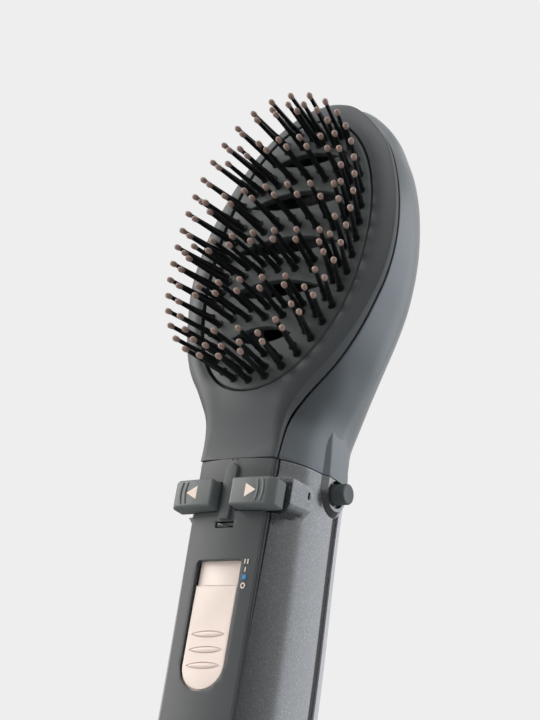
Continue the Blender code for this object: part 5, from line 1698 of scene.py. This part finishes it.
    def trim(self, obj: Solid, lift: float) -> Solid:
        """Cuts an object in the head's frame off level with the joint.

        Args:
            obj: the object.
            lift: how far above the joint the cut lies.

        Returns:
            The object.
        """
        bm = bmesh.new()
        bm.from_mesh(obj.data)
        inverse = self.place.inverted()
        point = inverse @ Vector((0, 0, self.joint_height + lift))
        normal = inverse.to_3x3() @ Vector((0, 0, 1))
        cut = bmesh.ops.bisect_plane(
            bm, geom=[*bm.verts, *bm.edges, *bm.faces], plane_co=point,
            plane_no=normal, clear_inner=True,
        )
        edges = [e for e in cut["geom_cut"] if isinstance(e, bmesh.types.BMEdge)]
        bmesh.ops.holes_fill(bm, edges=edges)
        bmesh.ops.recalc_face_normals(bm, faces=bm.faces)
        bm.to_mesh(obj.data)
        bm.free()
        return obj


@dataclass(frozen=True)
class PadOutline:
    """The oval pad: its outline, its crown and its five vents."""

    half_length: float = 0.0475
    half_width: float = 0.0265
    squareness: float = 2.107
    centre_rise: float = 0.068
    front: float = 0.0249
    crown_radius: float = 0.1245
    layer: float = 0.0009
    base_thickness: float = 0.0018
    ledge: float = 0.0022
    vent_half_height: float = 0.0031
    vent_height_shares: tuple[float, ...] = (0.701, 0.387, 0.044, -0.282, -0.617)
    vent_length_shares: tuple[float, ...] = (0.442, 0.694, 0.732, 0.645, 0.419)
    vent_opening_shares: tuple[float, ...] = (0.77, 1.0, 0.97, 0.97, 0.94)

    def surface(self, x: float) -> float:
        """Y of the pad's crowned face."""
        return -self.front + x * x / (2 * self.crown_radius)

    def half_height(self, x: float, grow: float = 0.0) -> float:
        """Half height of the outline.

        Args:
            x: distance from the middle.
            grow: how far outside the pad the outline lies.

        Returns:
            The half height.
        """
        share = min(abs(x) / (self.half_width + grow), 1.0)
        n = self.squareness
        return (self.half_length + grow) * (1 - share**n) ** (1 / n)

    def towards(self, angle: float, grow: float = 0.0) -> Vector:
        """The outline's point in a direction from the centre.

        Args:
            angle: the direction.
            grow: how far outside the pad the outline lies.

        Returns:
            The point's (x, z).
        """
        c, s = math.cos(angle), math.sin(angle)
        n = self.squareness
        reach = (
            (abs(c) / (self.half_width + grow)) ** n
            + (abs(s) / (self.half_length + grow)) ** n
        ) ** (-1 / n)
        return Vector((c * reach, s * reach))

    def vents(self) -> list[tuple[float, float, float]]:
        """The vents, from the top.

        Returns:
            Each vent's half length, height and half opening.
        """
        return [
            (self.half_width * a, self.half_length * b, self.vent_half_height * c)
            for a, b, c in zip(self.vent_length_shares, self.vent_height_shares,
                               self.vent_opening_shares)
        ]


@dataclass
class HeadShells:
    """The head's front and rear shells and the two ridges beside the pegs."""

    outline: HeadOutline
    pad: PadOutline
    shells: HandleShells
    lip_round: float = 0.0004
    lip_dip: float = 0.6
    pocket_gap: float = 0.0006
    rim_round: float = 0.0005
    groove_depth: float = 0.001
    extend: float = 0.009
    face_rows: int = 30
    outline_steps: int = 150
    rear_steps: int = 74
    ridge_rise: float = 0.02
    ridge_lean: float = 0.095
    ridge_round: float = 0.0005
    ridge_narrowing: float = 0.9

    def edge_points(self) -> Outline:
        """The seam's outline, closed, with the neck run on below.

        Returns:
            Its points in (x, z).
        """
        head = self.outline
        wide, low = head.width(0.0), -self.extend
        right = [(0.0, low), (wide / 2, low), (wide, low), (wide, low / 2)]
        for _, s in arc(self.outline_steps):
            z = head.length * s**1.05
            right.append((head.width(z), z))
        right.append((head.width(head.length) / 2, head.length))
        left = [(-x, z) for x, z in reversed(right[1:])]
        return right + [(0.0, head.length)] + left

    def build_front(self) -> None:
        """Builds the front shell as one closed sheet round the pad's opening."""
        head, pad = self.outline, self.pad
        edge = self.edge_points()
        base = pad.layer + pad.base_thickness + 2 * head.fit_gap
        angles = [math.atan2(z - pad.centre_rise, x) for x, z in edge]

        def at(grow: float, depth: Callable[[float, float], float]) -> Ring:
            """A ring round the opening.

            Args:
                grow: how far outside the opening it lies.
                depth: gives its depth at (x, z).

            Returns:
                The ring.
            """
            ring = []
            for angle in angles:
                point = pad.towards(angle, grow)
                z = point.y + pad.centre_rise
                ring.append(Vector((point.x, depth(point.x, z), z)))
            return ring

        def seat(x: float, z: float) -> float:
            """Depth of the ledge that the pad sits on."""
            return pad.surface(x) + base

        def dip(x: float, z: float) -> float:
            """How far the rim falls in towards the pad beside it."""
            return self.lip_dip * max(pad.surface(x) - head.face(x, z), 0.0)

        def back(x: float, z: float) -> float:
            """Depth of the shell's back, at the seam."""
            return -head.seam(z) + head.seam_gap / 2

        rings = [at(-pad.ledge, back), at(-pad.ledge, seat), at(self.pocket_gap, seat)]
        for c, s in arc(6):
            grow = self.pocket_gap + self.lip_round * (1 - c)
            drop = self.lip_round * (1 - s)
            rings.append(at(grow, lambda x, z, d=drop: head.face(x, z) + dip(x, z) + d))
        start = rings[-1]
        dips = [dip(p.x, p.z) for p in start]
        tips = []
        for inner, (x, z) in zip(start, edge):
            away = Vector((inner.x - x, inner.z - z))
            tips.append(away.normalized() * min(self.rim_round, away.length / 3))
        for k in range(1, self.face_rows + 1):
            s = 1 - (1 - k / self.face_rows) ** 1.8
            ring = []
            for inner, (x1, z1), tip, low in zip(start, edge, tips, dips):
                x, z = mix(inner.x, x1 + tip.x, s), mix(inner.z, z1 + tip.y, s)
                ring.append(Vector((x, head.face(x, z) + low * (1 - s) ** 3, z)))
            rings.append(ring)
        last = rings[-1]
        for c, s in arc(4)[1:]:
            rings.append([
                Vector((x + tip.x * (1 - s), p.y + self.rim_round * (1 - c),
                        z + tip.y * (1 - s)))
                for p, (x, z), tip in zip(last, edge, tips)])
        share = self.groove_depth / self.rim_round
        for inward, lift in ((0.0, -0.25), (share, -0.25), (share, 0.5)):
            rings.append([
                Vector((x + tip.x * inward, -head.seam(z) + head.seam_gap * lift,
                        z + tip.y * inward))
                for (x, z), tip in zip(edge, tips)])
        shell = loft("shell_front", rings, rows_closed=True)
        head.trim(shell, head.fit_gap)
        shell.data.transform(head.place)
        dress(shade(shell, 40.0), "head", FRONT_NYLON, ["head_front_shell"])

    def build_rear(self) -> None:
        """Builds the rear shell, closed over the top, with a real wall."""
        head = self.outline
        heights = [-self.extend, -self.extend / 2]
        heights += [head.length * s**1.1 for _, s in arc(self.rear_steps)]
        rings = [head.rear_ring(z) for z in heights]
        last = rings[-1]
        seam = last[0].y
        for c, s in arc(6)[1:]:
            rise = head.rear_lift * 0.22 * s
            rings.append([Vector((p.x * c, seam + (p.y - seam) * c,
                                  mix(head.length, p.z, c) + rise)) for p in last])
        shell = loft("shell_rear", rings, ring_closed=False, merge=1e-6)
        mod = shell.modifiers.new("wall", "SOLIDIFY")
        mod.thickness = head.wall
        mod.offset = -1.0
        head.trim(settle(shell), head.fit_gap)
        soften(shell, self.shells.edge_round, 2, 50.0)
        shell.data.transform(head.place)
        dress(shade(shell, 40.0), "head", REAR_PC, ["head_rear_shell"])

    def build_ridge(self, side: Side) -> None:
        """Builds the ridge that runs on up from a release peg's boss.

        Args:
            side: which half it is on.
        """
        shells = self.shells
        foot = shells.boss_half_width + shells.boss_foot_margin
        y = shells.boss_centre_y
        outline = [
            (shells.boss_root_x, y - foot), (shells.boss_foot_x, y - foot),
            (shells.boss_face_x, y - shells.boss_half_width),
            (shells.boss_face_x, y + shells.boss_half_width),
            (shells.boss_foot_x, y + foot), (shells.boss_root_x, y + foot),
        ]
        low = shells.joint + shells.outline.fit_gap
        rings = []
        for z in spread(low, low + self.ridge_rise, 9):
            lean = (z - low) * self.ridge_lean
            narrow = 1 - self.ridge_narrowing * ((z - low) / self.ridge_rise) ** 2
            ring = []
            for a, b in rounded(outline, self.ridge_round):
                if a > shells.boss_root_x:
                    a -= lean + self.outline.fold(b, z - low)
                ring.append(Vector((side.value * a,
                                    b if b < y else y + (b - y) * narrow, z)))
            rings.append(ring)
        ridge = loft(f"shell_ridge_{side.label}", rings)
        dress(shade(ridge), "head", REAR_PC)

    def build(self) -> None:
        """Builds the head's shells."""
        self.build_front()
        self.build_rear()
        for side in Side:
            self.build_ridge(side)


@dataclass
class PinPad:
    """The crowned pad with its vents and its ball-tipped pins."""

    outline: HeadOutline
    pad: PadOutline
    columns: int = 150
    band_rows: int = 7
    lip_round: float = 0.0009
    vent_round: float = 0.00035
    thickness: float = 0.0027
    ring_counts: tuple[int, int] = (38, 36)
    ring_insets: tuple[float, float] = (0.003, 0.0062)
    ring_sway: float = 0.001
    row_pitch: float = 0.006
    row_sag: float = 0.002
    row_height_shares: tuple[float, ...] = (
        0.808, 0.602, 0.539, 0.2505, 0.183, -0.082, -0.141, -0.4126, -0.4905, -0.756)
    row_pitch_shares: tuple[float, ...] = (
        1.0, 0.95, 0.933, 1.0, 1.033, 0.967, 1.0, 0.983, 1.0, 1.067)
    row_sag_shares: tuple[float, ...] = (
        0.0, 0.2, 1.0, 0.4, 0.9, 0.3, 0.9, 0.0, -0.4, 0.0)
    row_counts: tuple[int, ...] = (2, 5, 6, 7, 6, 7, 7, 5, 5, 2)
    fan_radius: float = 0.0587
    fan_height: float = 0.524
    fan_gain: float = 0.15
    fan_gain_depth: float = 0.037
    ring_steps: int = 720
    pin_sides: int = 12
    # Height and radius of a pin: its foot disc, its thicker lower third with
    # a small shoulder, its taper and the egg-shaped ball.
    stem_profile: Shares = (
        (-0.0004, 0.00142), (0.0, 0.00142), (0.00018, 0.00134), (0.00034, 0.00112),
        (0.0007, 0.00098), (0.0024, 0.00092), (0.0041, 0.00089), (0.0044, 0.00096),
        (0.0048, 0.00084), (0.0056, 0.00076), (0.01, 0.00069), (0.0146, 0.00062),
    )
    ball_profile: Shares = (
        (0.0147, 0.00068), (0.0151, 0.0008), (0.0156, 0.00088),
        (0.01605, 0.00086), (0.01645, 0.00068), (0.01673, 0.00038), (0.01683, 0.0),
    )

    def build_plate(self) -> None:
        """Builds the pad as one sheet, its vents left open, with soft lips."""
        pad = self.pad
        inset = self.lip_round
        xs = [-(pad.half_width - inset) * c for c, _ in arc(self.columns, math.pi)]
        vents = []
        for reach, height, opening in pad.vents():
            ends = [min(range(len(xs)), key=lambda i: abs(xs[i] - end))
                    for end in (-reach, reach)]
            vents.append((ends, height, opening + self.vent_round))
        bm = bmesh.new()
        sheets: list[list[list[Vert]]] = []
        for depth in (0.0, self.thickness):
            columns = []
            for i, x in enumerate(xs):
                top = pad.half_height(x, -inset)
                marks = [top]
                for (first, last), height, opening in vents:
                    half = 0.0
                    if first < i < last:
                        span = (xs[last] - xs[first]) / 2
                        share = (x - (xs[first] + xs[last]) / 2) / span
                        half = opening * (1 - share**2)
                    middle = min(max(height, -top), top)
                    marks += [middle + half, middle - half]
                marks.append(-top)
                heights = [z for k in range(0, len(marks), 2)
                           for z in spread(marks[k], marks[k + 1], self.band_rows)]
                columns.append([
                    bm.verts.new((x, pad.surface(x) + depth, z + pad.centre_rise))
                    for z in heights])
            sheets.append(columns)
        for columns in sheets:
            for left, right in zip(columns, columns[1:]):
                for k in range(len(left) - 1):
                    if (k + 1) % self.band_rows:
                        bm.faces.new((left[k], left[k + 1], right[k + 1], right[k]))
        front, back = sheets

        def lip(loop: list[Vert], rear: list[Vert], radius: float) -> None:
            """Rolls an edge over from the front sheet and ties it to the rear.

            Args:
                loop: the edge in order.
                rear: the points below it in the rear sheet.
                radius: radius of the roll.
            """
            count = len(loop)
            rows = [loop]
            normals = []
            for i in range(count):
                a, b = loop[i - 1].co, loop[(i + 1) % count].co
                edge = Vector((b.x - a.x, b.z - a.z)).normalized()
                normals.append(Vector((edge.y, -edge.x)))
            for c, s in arc(6)[1:]:
                rows.append([
                    bm.verts.new((v.co.x + n.x * radius * s, v.co.y + radius * (1 - c),
                                  v.co.z + n.y * radius * s))
                    for v, n in zip(loop, normals)
                ])
            weave(bm, [*rows, rear])

        def border(columns: list[list[Vert]]) -> list[Vert]:
            """The sheet's rim in order."""
            return [c[0] for c in columns] + [c[-1] for c in reversed(columns)]

        lip(border(front)[::-1], border(back)[::-1], inset)
        for index, ((first, last), _, _) in enumerate(vents):
            upper = (index + 1) * self.band_rows - 1
            loops = []
            for columns in sheets:
                high = [columns[i][upper] for i in range(first, last + 1)]
                low = [columns[i][upper + 1] for i in range(last - 1, first, -1)]
                loops.append(high + low)
            lip(loops[0], loops[1], self.vent_round)
        bmesh.ops.remove_doubles(bm, verts=bm.verts, dist=2e-6)
        bmesh.ops.dissolve_degenerate(bm, dist=1e-6, edges=bm.edges)
        plate = link("pad_plate", bm)
        plate.data.transform(self.outline.place)
        dress(shade(plate, 50.0), "head", PAD_NYLON, ["pad_base"])

    def pin_places(self) -> list[Vector]:
        """Places of all pins on the pad.

        Returns:
            Each pin's (x, z) from the pad's centre.
        """
        pad = self.pad
        steps = self.ring_steps
        power = 2 / pad.squareness
        points = [Vector((pad.half_width * signed_power(s, power),
                          pad.half_length * signed_power(c, power)))
                  for c, s in arc(steps, math.tau)]
        lengths = [0.0]
        for a, b in zip(points, points[1:]):
            lengths.append(lengths[-1] + (b - a).length)

        def at_share(share: float, inset: float) -> Vector:
            """A point inside the outline.

            Args:
                share: how far round the outline it lies.
                inset: how far inside it lies.

            Returns:
                The point.
            """
            goal = share * lengths[-1] + self.ring_sway * math.sin(4 * math.pi * share)
            goal %= lengths[-1]
            k = 0
            while k < steps - 1 and lengths[k + 1] < goal:
                k += 1
            u = (goal - lengths[k]) / (lengths[k + 1] - lengths[k])
            edge = (points[k + 1] - points[k]).normalized()
            return points[k].lerp(points[k + 1], u) - Vector((-edge.y, edge.x)) * inset

        places = []
        for count, inset in zip(self.ring_counts, self.ring_insets):
            places += [at_share(k / count, inset) for k in range(count)]
        for height, pitch, sag, count in zip(
            self.row_height_shares, self.row_pitch_shares, self.row_sag_shares,
            self.row_counts,
        ):
            reach = self.row_pitch * pitch * (count - 1) / 2
            for i in range(count):
                x = self.row_pitch * pitch * i - reach
                drop = self.row_sag * sag * (x / reach) ** 2
                places.append(Vector((x, pad.half_length * height - drop)))
        return places

    def add_pin(self, bm: bmesh.types.BMesh, place: Vector) -> None:
        """Adds one pin, standing on the pad's face and fanning out.

        Args:
            bm: the mesh that takes it.
            place: its (x, z) from the pad's centre.
        """
        pad = self.pad
        low = min(max(-place.y / self.fan_gain_depth, 0.0), 1.0)
        fan = place.x / self.fan_radius * (1 + self.fan_gain * low)
        lean = place.y / self.fan_height
        direction = Vector((
            math.sin(fan) * math.cos(lean), -math.cos(fan) * math.cos(lean),
            math.sin(lean)))
        base = Vector((place.x, pad.surface(place.x), place.y + pad.centre_rise))
        turn = Vector((0, 0, 1)).rotation_difference(direction).to_matrix()
        sides = self.pin_sides
        around = arc(sides, math.tau)[:-1]
        rows: list[list[Vert]] = []
        for height, radius in self.stem_profile + self.ball_profile[:-1]:
            rows.append([
                bm.verts.new(base + turn @ Vector((radius * c, radius * s, height)))
                for c, s in around
            ])
        for face in weave(bm, rows)[(len(self.stem_profile) - 1) * sides:]:
            face.material_index = 1
        bm.faces.new(rows[0][::-1])
        tip = bm.verts.new(base + direction * self.ball_profile[-1][0])
        for i in range(sides):
            face = bm.faces.new((rows[-1][i], rows[-1][(i + 1) % sides], tip))
            face.material_index = 1

    def build_pins(self) -> None:
        """Builds the pins of each bed between two vents."""
        heights = [height for _, height, _ in self.pad.vents()]
        beds: list[list[Vector]] = [[] for _ in range(len(heights) + 1)]
        for place in self.pin_places():
            beds[sum(place.y < height for height in heights)].append(place)
        for k, places in enumerate(beds):
            bm = bmesh.new()
            for place in places:
                self.add_pin(bm, place)
            pins = link(f"pins_{k + 1}", bm)
            pins.data.materials.append(PIN_NYLON.material())
            pins.data.materials.append(TIP_RESIN.material())
            pins.data.transform(self.outline.place)
            dress(shade(pins, 40.0), "head", PIN_NYLON, [f"pin_bed_{k + 1}"])

    def build(self) -> None:
        """Builds the pad and its pins."""
        self.build_plate()
        self.build_pins()


@dataclass
class LowerEnd:
    """The intake grille, the end cap and the cord's swivel."""

    outline: HandleOutline
    cap_height: float = 0.01
    foot_share: float = 0.62
    cap_floor: float = 0.0028
    wall: float = 0.002
    slot_count: int = 20
    slot_width: float = 0.0022
    slot_margin: float = 0.003
    swivel_radius: float = 0.0065
    swivel_flange: float = 0.0085
    swivel_flange_height: float = 0.0016
    swivel_height: float = 0.01
    swivel_bore: float = 0.0032
    swivel_sink: float = 0.0004
    edge_round: float = 0.0004
    overrun: float = 0.004

    def cap_ring(self, z: float, grow: float = 0.0) -> Ring:
        """The rounded lower end's outline.

        Args:
            z: height.
            grow: how far outside the face it lies.

        Returns:
            The ring.
        """
        t = 1 - z / self.cap_height
        bend = 1 - math.sqrt(max(1 - t * t, 0.0))
        return self.outline.ring(z, grow, share=mix(1.0, self.foot_share, bend))

    def build_cap(self) -> None:
        """Builds the end cap, open above and round its swivel."""
        gap = self.outline.fit_gap
        heights = [self.cap_height * (1 - c) for c, _ in arc(14)[:-1]]
        cap = loft("cap_end", [
            self.cap_ring(z) for z in (*heights, self.cap_height - gap)])
        inner = [self.cap_ring(z, -self.wall) for z in
                 spread(self.cap_floor, self.cap_height, 6)]
        inner.append([p + Vector((0, 0, self.overrun)) for p in inner[-1]])
        hole = self.swivel_radius + gap
        carve(cap, Carve.CUT, [
            loft("cap_room", inner),
            turned("swivel_room", oblong(0, -self.overrun, hole, self.cap_height),
                   Vector((0, self.outline.end.shift, 0)), Vector((0, 0, 1)))])
        dress(shade(soften(cap, self.edge_round)), "handle", PANEL_ABS, ["end_cap"])

    def build_grille(self) -> None:
        """Builds the intake band with its round-ended slots."""
        low, high = self.cap_height, self.outline.casing_bottom
        band = loft("grille_band", [self.outline.ring(z) for z in spread(low, high, 9)])
        rooms = [loft("grille_room", [
            self.outline.ring(z, -self.wall)
            for z in (low - self.overrun, *spread(low, high, 5), high + self.overrun)])]
        half = self.slot_width / 2
        slot = rounded(oblong(-half, low + self.slot_margin, half,
                              high - self.slot_margin), half)
        reach = 2 * self.outline.end.half_depth
        pairs = self.slot_count // 2
        for k in range(pairs):
            tool = drawn("slot", slot, Axis.X, -reach, reach)
            tool.data.transform(
                Matrix.Translation((0, self.outline.end.shift, 0))
                @ Matrix.Rotation(math.pi * (k + 0.5) / pairs, 4, "Z"))
            rooms.append(tool)
        carve(band, Carve.CUT, rooms)
        dress(shade(soften(band, self.edge_round)), "handle", PANEL_ABS,
              ["intake_grille"])

    def build_swivel(self) -> None:
        """Builds the collar that the cord enters by."""
        low = self.cap_floor + self.outline.fit_gap
        r, bore = self.swivel_radius, self.swivel_bore
        soft, sink = self.edge_round, self.swivel_sink
        profile = [
            (r - soft, sink), (r, sink + soft), (r, low), (self.swivel_flange, low),
            (self.swivel_flange, low + self.swivel_flange_height),
            (r * 0.75, self.swivel_height), (bore, self.swivel_height),
            (bore, sink + 2 * soft), (bore + soft, sink + soft),
            (bore + 2 * soft, sink),
        ]
        collar = turned("swivel_collar", profile,
                        Vector((0, self.outline.end.shift, 0)), Vector((0, 0, 1)))
        dress(shade(collar), "cord_swivel", BLACK_NYLON, ["cord_swivel"])

    def build(self) -> None:
        """Builds the lower end."""
        self.build_cap()
        self.build_grille()
        self.build_swivel()


@dataclass
class Internals:
    """The pieces inside, which keep their shape from the frame."""

    finishes: tuple[tuple[Finish, str], ...] = (
        (HEAT_NYLON, "outlet_barrel head_socket head_baffle"),
        (MOTOR_STEEL, "drive_gearmotor fan_motor thermostat"),
        (WHITE_NYLON, "drive_hub fan_rotor ion_emitter"),
        (MICA, "heater_tube heater_frame"),
        (NICHROME, "heater_coil"),
        (BLACK_NYLON, "fan_duct slide_switch direction_switch_left"),
        (BLACK_NYLON, "direction_switch_right"),
        (LAMINATE, "circuit_board"),
        (POTTING, "ion_generator"),
        (SCREEN, "filter_screen"),
        (SPRING_STEEL, "direction_spring_left direction_spring_right"),
        (SPRING_STEEL, "release_spring_left release_spring_right"),
    )

    def build(self) -> None:
        """Gives each node of the frame that stays its material."""
        for finish, names in self.finishes:
            for name in names.split():
                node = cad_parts[name]
                node.data.materials.clear()
                node.data.materials.append(finish.material())
                LOG.info("%s: %s", name, finish.name)


@dataclass
class Studio:
    """The floor, the soft lights and the camera at the photograph's angle."""

    backdrop: str = "#eeeeee"
    camera_place: tuple[float, float, float] = (0.3339, -0.4664, 0.0229)
    camera_turn: tuple[float, float, float] = (111.8947, -9.0789, 32.7309)
    focal_pixels: float = 2077.46
    frame_pixels: float = 720.0
    sensor: float = 24.0
    # The room in front of the tool and to its right is darker than the sweep,
    # and so is what lies below the tool's height, more so in front. Each ramp
    # holds a direction, the facing values it runs between and its end levels.
    ramps: tuple[tuple[tuple[float, ...], float, float, float, float], ...] = (
        ((0.68, -0.72, -0.15), -0.15, 0.75, 1.0, 0.72),
        ((0.0, 0.16, 1.0), 0.07, 0.18, 0.14, 1.0),
    )
    fill_level: float = 0.3
    floor_near: float = 0.1
    floor_far: float = 0.9

    def build_camera(self) -> None:
        """Places the camera."""
        camera = bpy.data.cameras.new("camera")
        camera.sensor_fit = "VERTICAL"
        camera.sensor_height = self.sensor
        camera.lens = self.focal_pixels / self.frame_pixels * self.sensor
        camera.clip_start = 0.01
        obj = bpy.data.objects.new("camera", camera)
        obj.location = self.camera_place
        obj.rotation_euler = [math.radians(v) for v in self.camera_turn]
        bpy.context.scene.collection.objects.link(obj)
        bpy.context.scene.camera = obj

    def build_world(self) -> None:
        """Soft light from all round, and the plain pale background."""
        world = bpy.data.worlds.new("studio")
        world.use_nodes = True
        bpy.context.scene.world = world
        tree = world.node_tree
        tree.nodes.clear()
        rays = add_node(tree, "LightPath").outputs
        plain = add_node(tree, "Math", {"operation": "MAXIMUM"},
                         {0: rays["Is Camera Ray"], 1: rays["Is Transmission Ray"]})
        direction = add_node(tree, "TexCoord").outputs["Generated"]
        levels = {}
        for k, (side, start, end, first, last) in enumerate(self.ramps):
            facing = add_node(tree, "VectorMath", {"operation": "DOT_PRODUCT", 1: side},
                              {0: direction})
            levels[k] = add_node(
                tree, "MapRange",
                {"interpolation_type": "SMOOTHSTEP", "From Min": start,
                 "From Max": end, "To Min": first, "To Max": last},
                {"Value": facing.outputs["Value"]},
            ).outputs["Result"]
        level = add_node(tree, "Math", {"operation": "MULTIPLY"}, levels)
        share = add_node(tree, "MapRange", {"To Min": self.fill_level, "To Max": 1.0},
                         {"Value": rays["Is Glossy Ray"]})
        shaded = add_node(tree, "Math", {"operation": "MULTIPLY"},
                          {0: level.outputs["Value"], 1: share.outputs["Result"]})
        colour = linear(self.backdrop)
        light = add_node(tree, "Background", {"Color": colour},
                         {"Strength": shaded.outputs["Value"]})
        back = add_node(tree, "Background", {"Color": colour, "Strength": 1.0})
        both = add_node(tree, "MixShader", {}, {
            0: plain.outputs["Value"], 1: light.outputs[0], 2: back.outputs[0]})
        add_node(tree, "OutputWorld", {}, {"Surface": both.outputs[0]})

    def build_lamp(self, name: str, place: Vector, size: float, power: float,
                   colour: str) -> None:
        """Adds one soft lamp that looks at the middle of the tool.

        Args:
            name: the lamp's name.
            place: where it stands.
            size: its width and height.
            power: its power in watts.
            colour: its colour.
        """
        lamp = bpy.data.lights.new(name, "AREA")
        lamp.shape = "SQUARE"
        lamp.size = size
        lamp.energy = power
        lamp.color = linear(colour)[:3]
        obj = bpy.data.objects.new(name, lamp)
        obj.location = place
        obj.visible_camera = False
        target = Vector((0, 0, 0.2))
        obj.rotation_euler = (target - place).to_track_quat("-Z", "Y").to_euler()
        bpy.context.scene.collection.objects.link(obj)

    def build_floor(self) -> None:
        """A plain pale floor that keeps the tool's shadow."""
        bm = bmesh.new()
        bmesh.ops.create_grid(bm, x_segments=8, y_segments=8, size=3.0)
        floor = link("floor", bm)
        paper = Moulded("floor_paper", "", self.backdrop, "#f0f0f0", 0.9,
                        grain_mm=4.0, grain_depth_mm=0.05, tone_mm=300.0).material()
        # Further off, the camera sees the floor run into the pale background.
        tree = paper.node_tree
        shader = tree.nodes["Principled BSDF"]
        place = add_node(tree, "TexCoord").outputs["Object"]
        far = add_node(tree, "VectorMath", {"operation": "LENGTH"}, {0: place})
        share = add_node(
            tree, "MapRange",
            {"interpolation_type": "SMOOTHSTEP", "From Min": self.floor_near,
             "From Max": self.floor_far}, {"Value": far.outputs["Value"]})
        rays = add_node(tree, "LightPath").outputs
        seen = add_node(tree, "Math", {"operation": "MULTIPLY"},
                        {0: share.outputs["Result"], 1: rays["Is Camera Ray"]})
        sweep = add_node(tree, "Emission", {"Color": linear(self.backdrop)})
        both = add_node(tree, "MixShader", {}, {
            0: seen.outputs["Value"], 1: shader.outputs[0], 2: sweep.outputs[0]})
        tree.links.new(both.outputs[0], tree.nodes["Material Output"].inputs["Surface"])
        floor.data.materials.append(paper)
        # The tool hangs free in the photograph, so its underside mirrors no floor.
        floor.visible_glossy = False

    def build(self) -> None:
        """Builds the studio."""
        self.build_camera()
        self.build_world()
        self.build_floor()
        self.build_lamp("left_softbox", Vector((-1.05, -0.62, 0.6)), 1.0, 15.0,
                        "#fffaf6")
        self.build_lamp("right_softbox", Vector((0.95, 0.95, 0.6)), 1.5, 7.0,
                        "#f7faff")
        self.build_lamp("top_softbox", Vector((0.35, -0.35, 1.6)), 1.2, 9.0,
                        "#ffffff")
        bpy.context.scene.view_settings.view_transform = "Standard"


def main() -> None:
    """Builds the studio and every sub-assembly in order."""
    logging.basicConfig(level=logging.INFO, format="%(name)s %(message)s")
    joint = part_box("front_casing")[1].z
    outline = HandleOutline(joint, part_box("intake_grille")[1].z)
    shells = HandleShells(outline)
    head = HeadOutline(joint)
    pad = PadOutline()
    builders = (
        Studio(), shells, Controls(shells), HeadShells(head, pad, shells),
        PinPad(head, pad), LowerEnd(outline), Internals(),
    )
    for builder in builders:
        builder.build()
        LOG.info("%s done", type(builder).__name__)


if __name__ == "__main__":
    main()
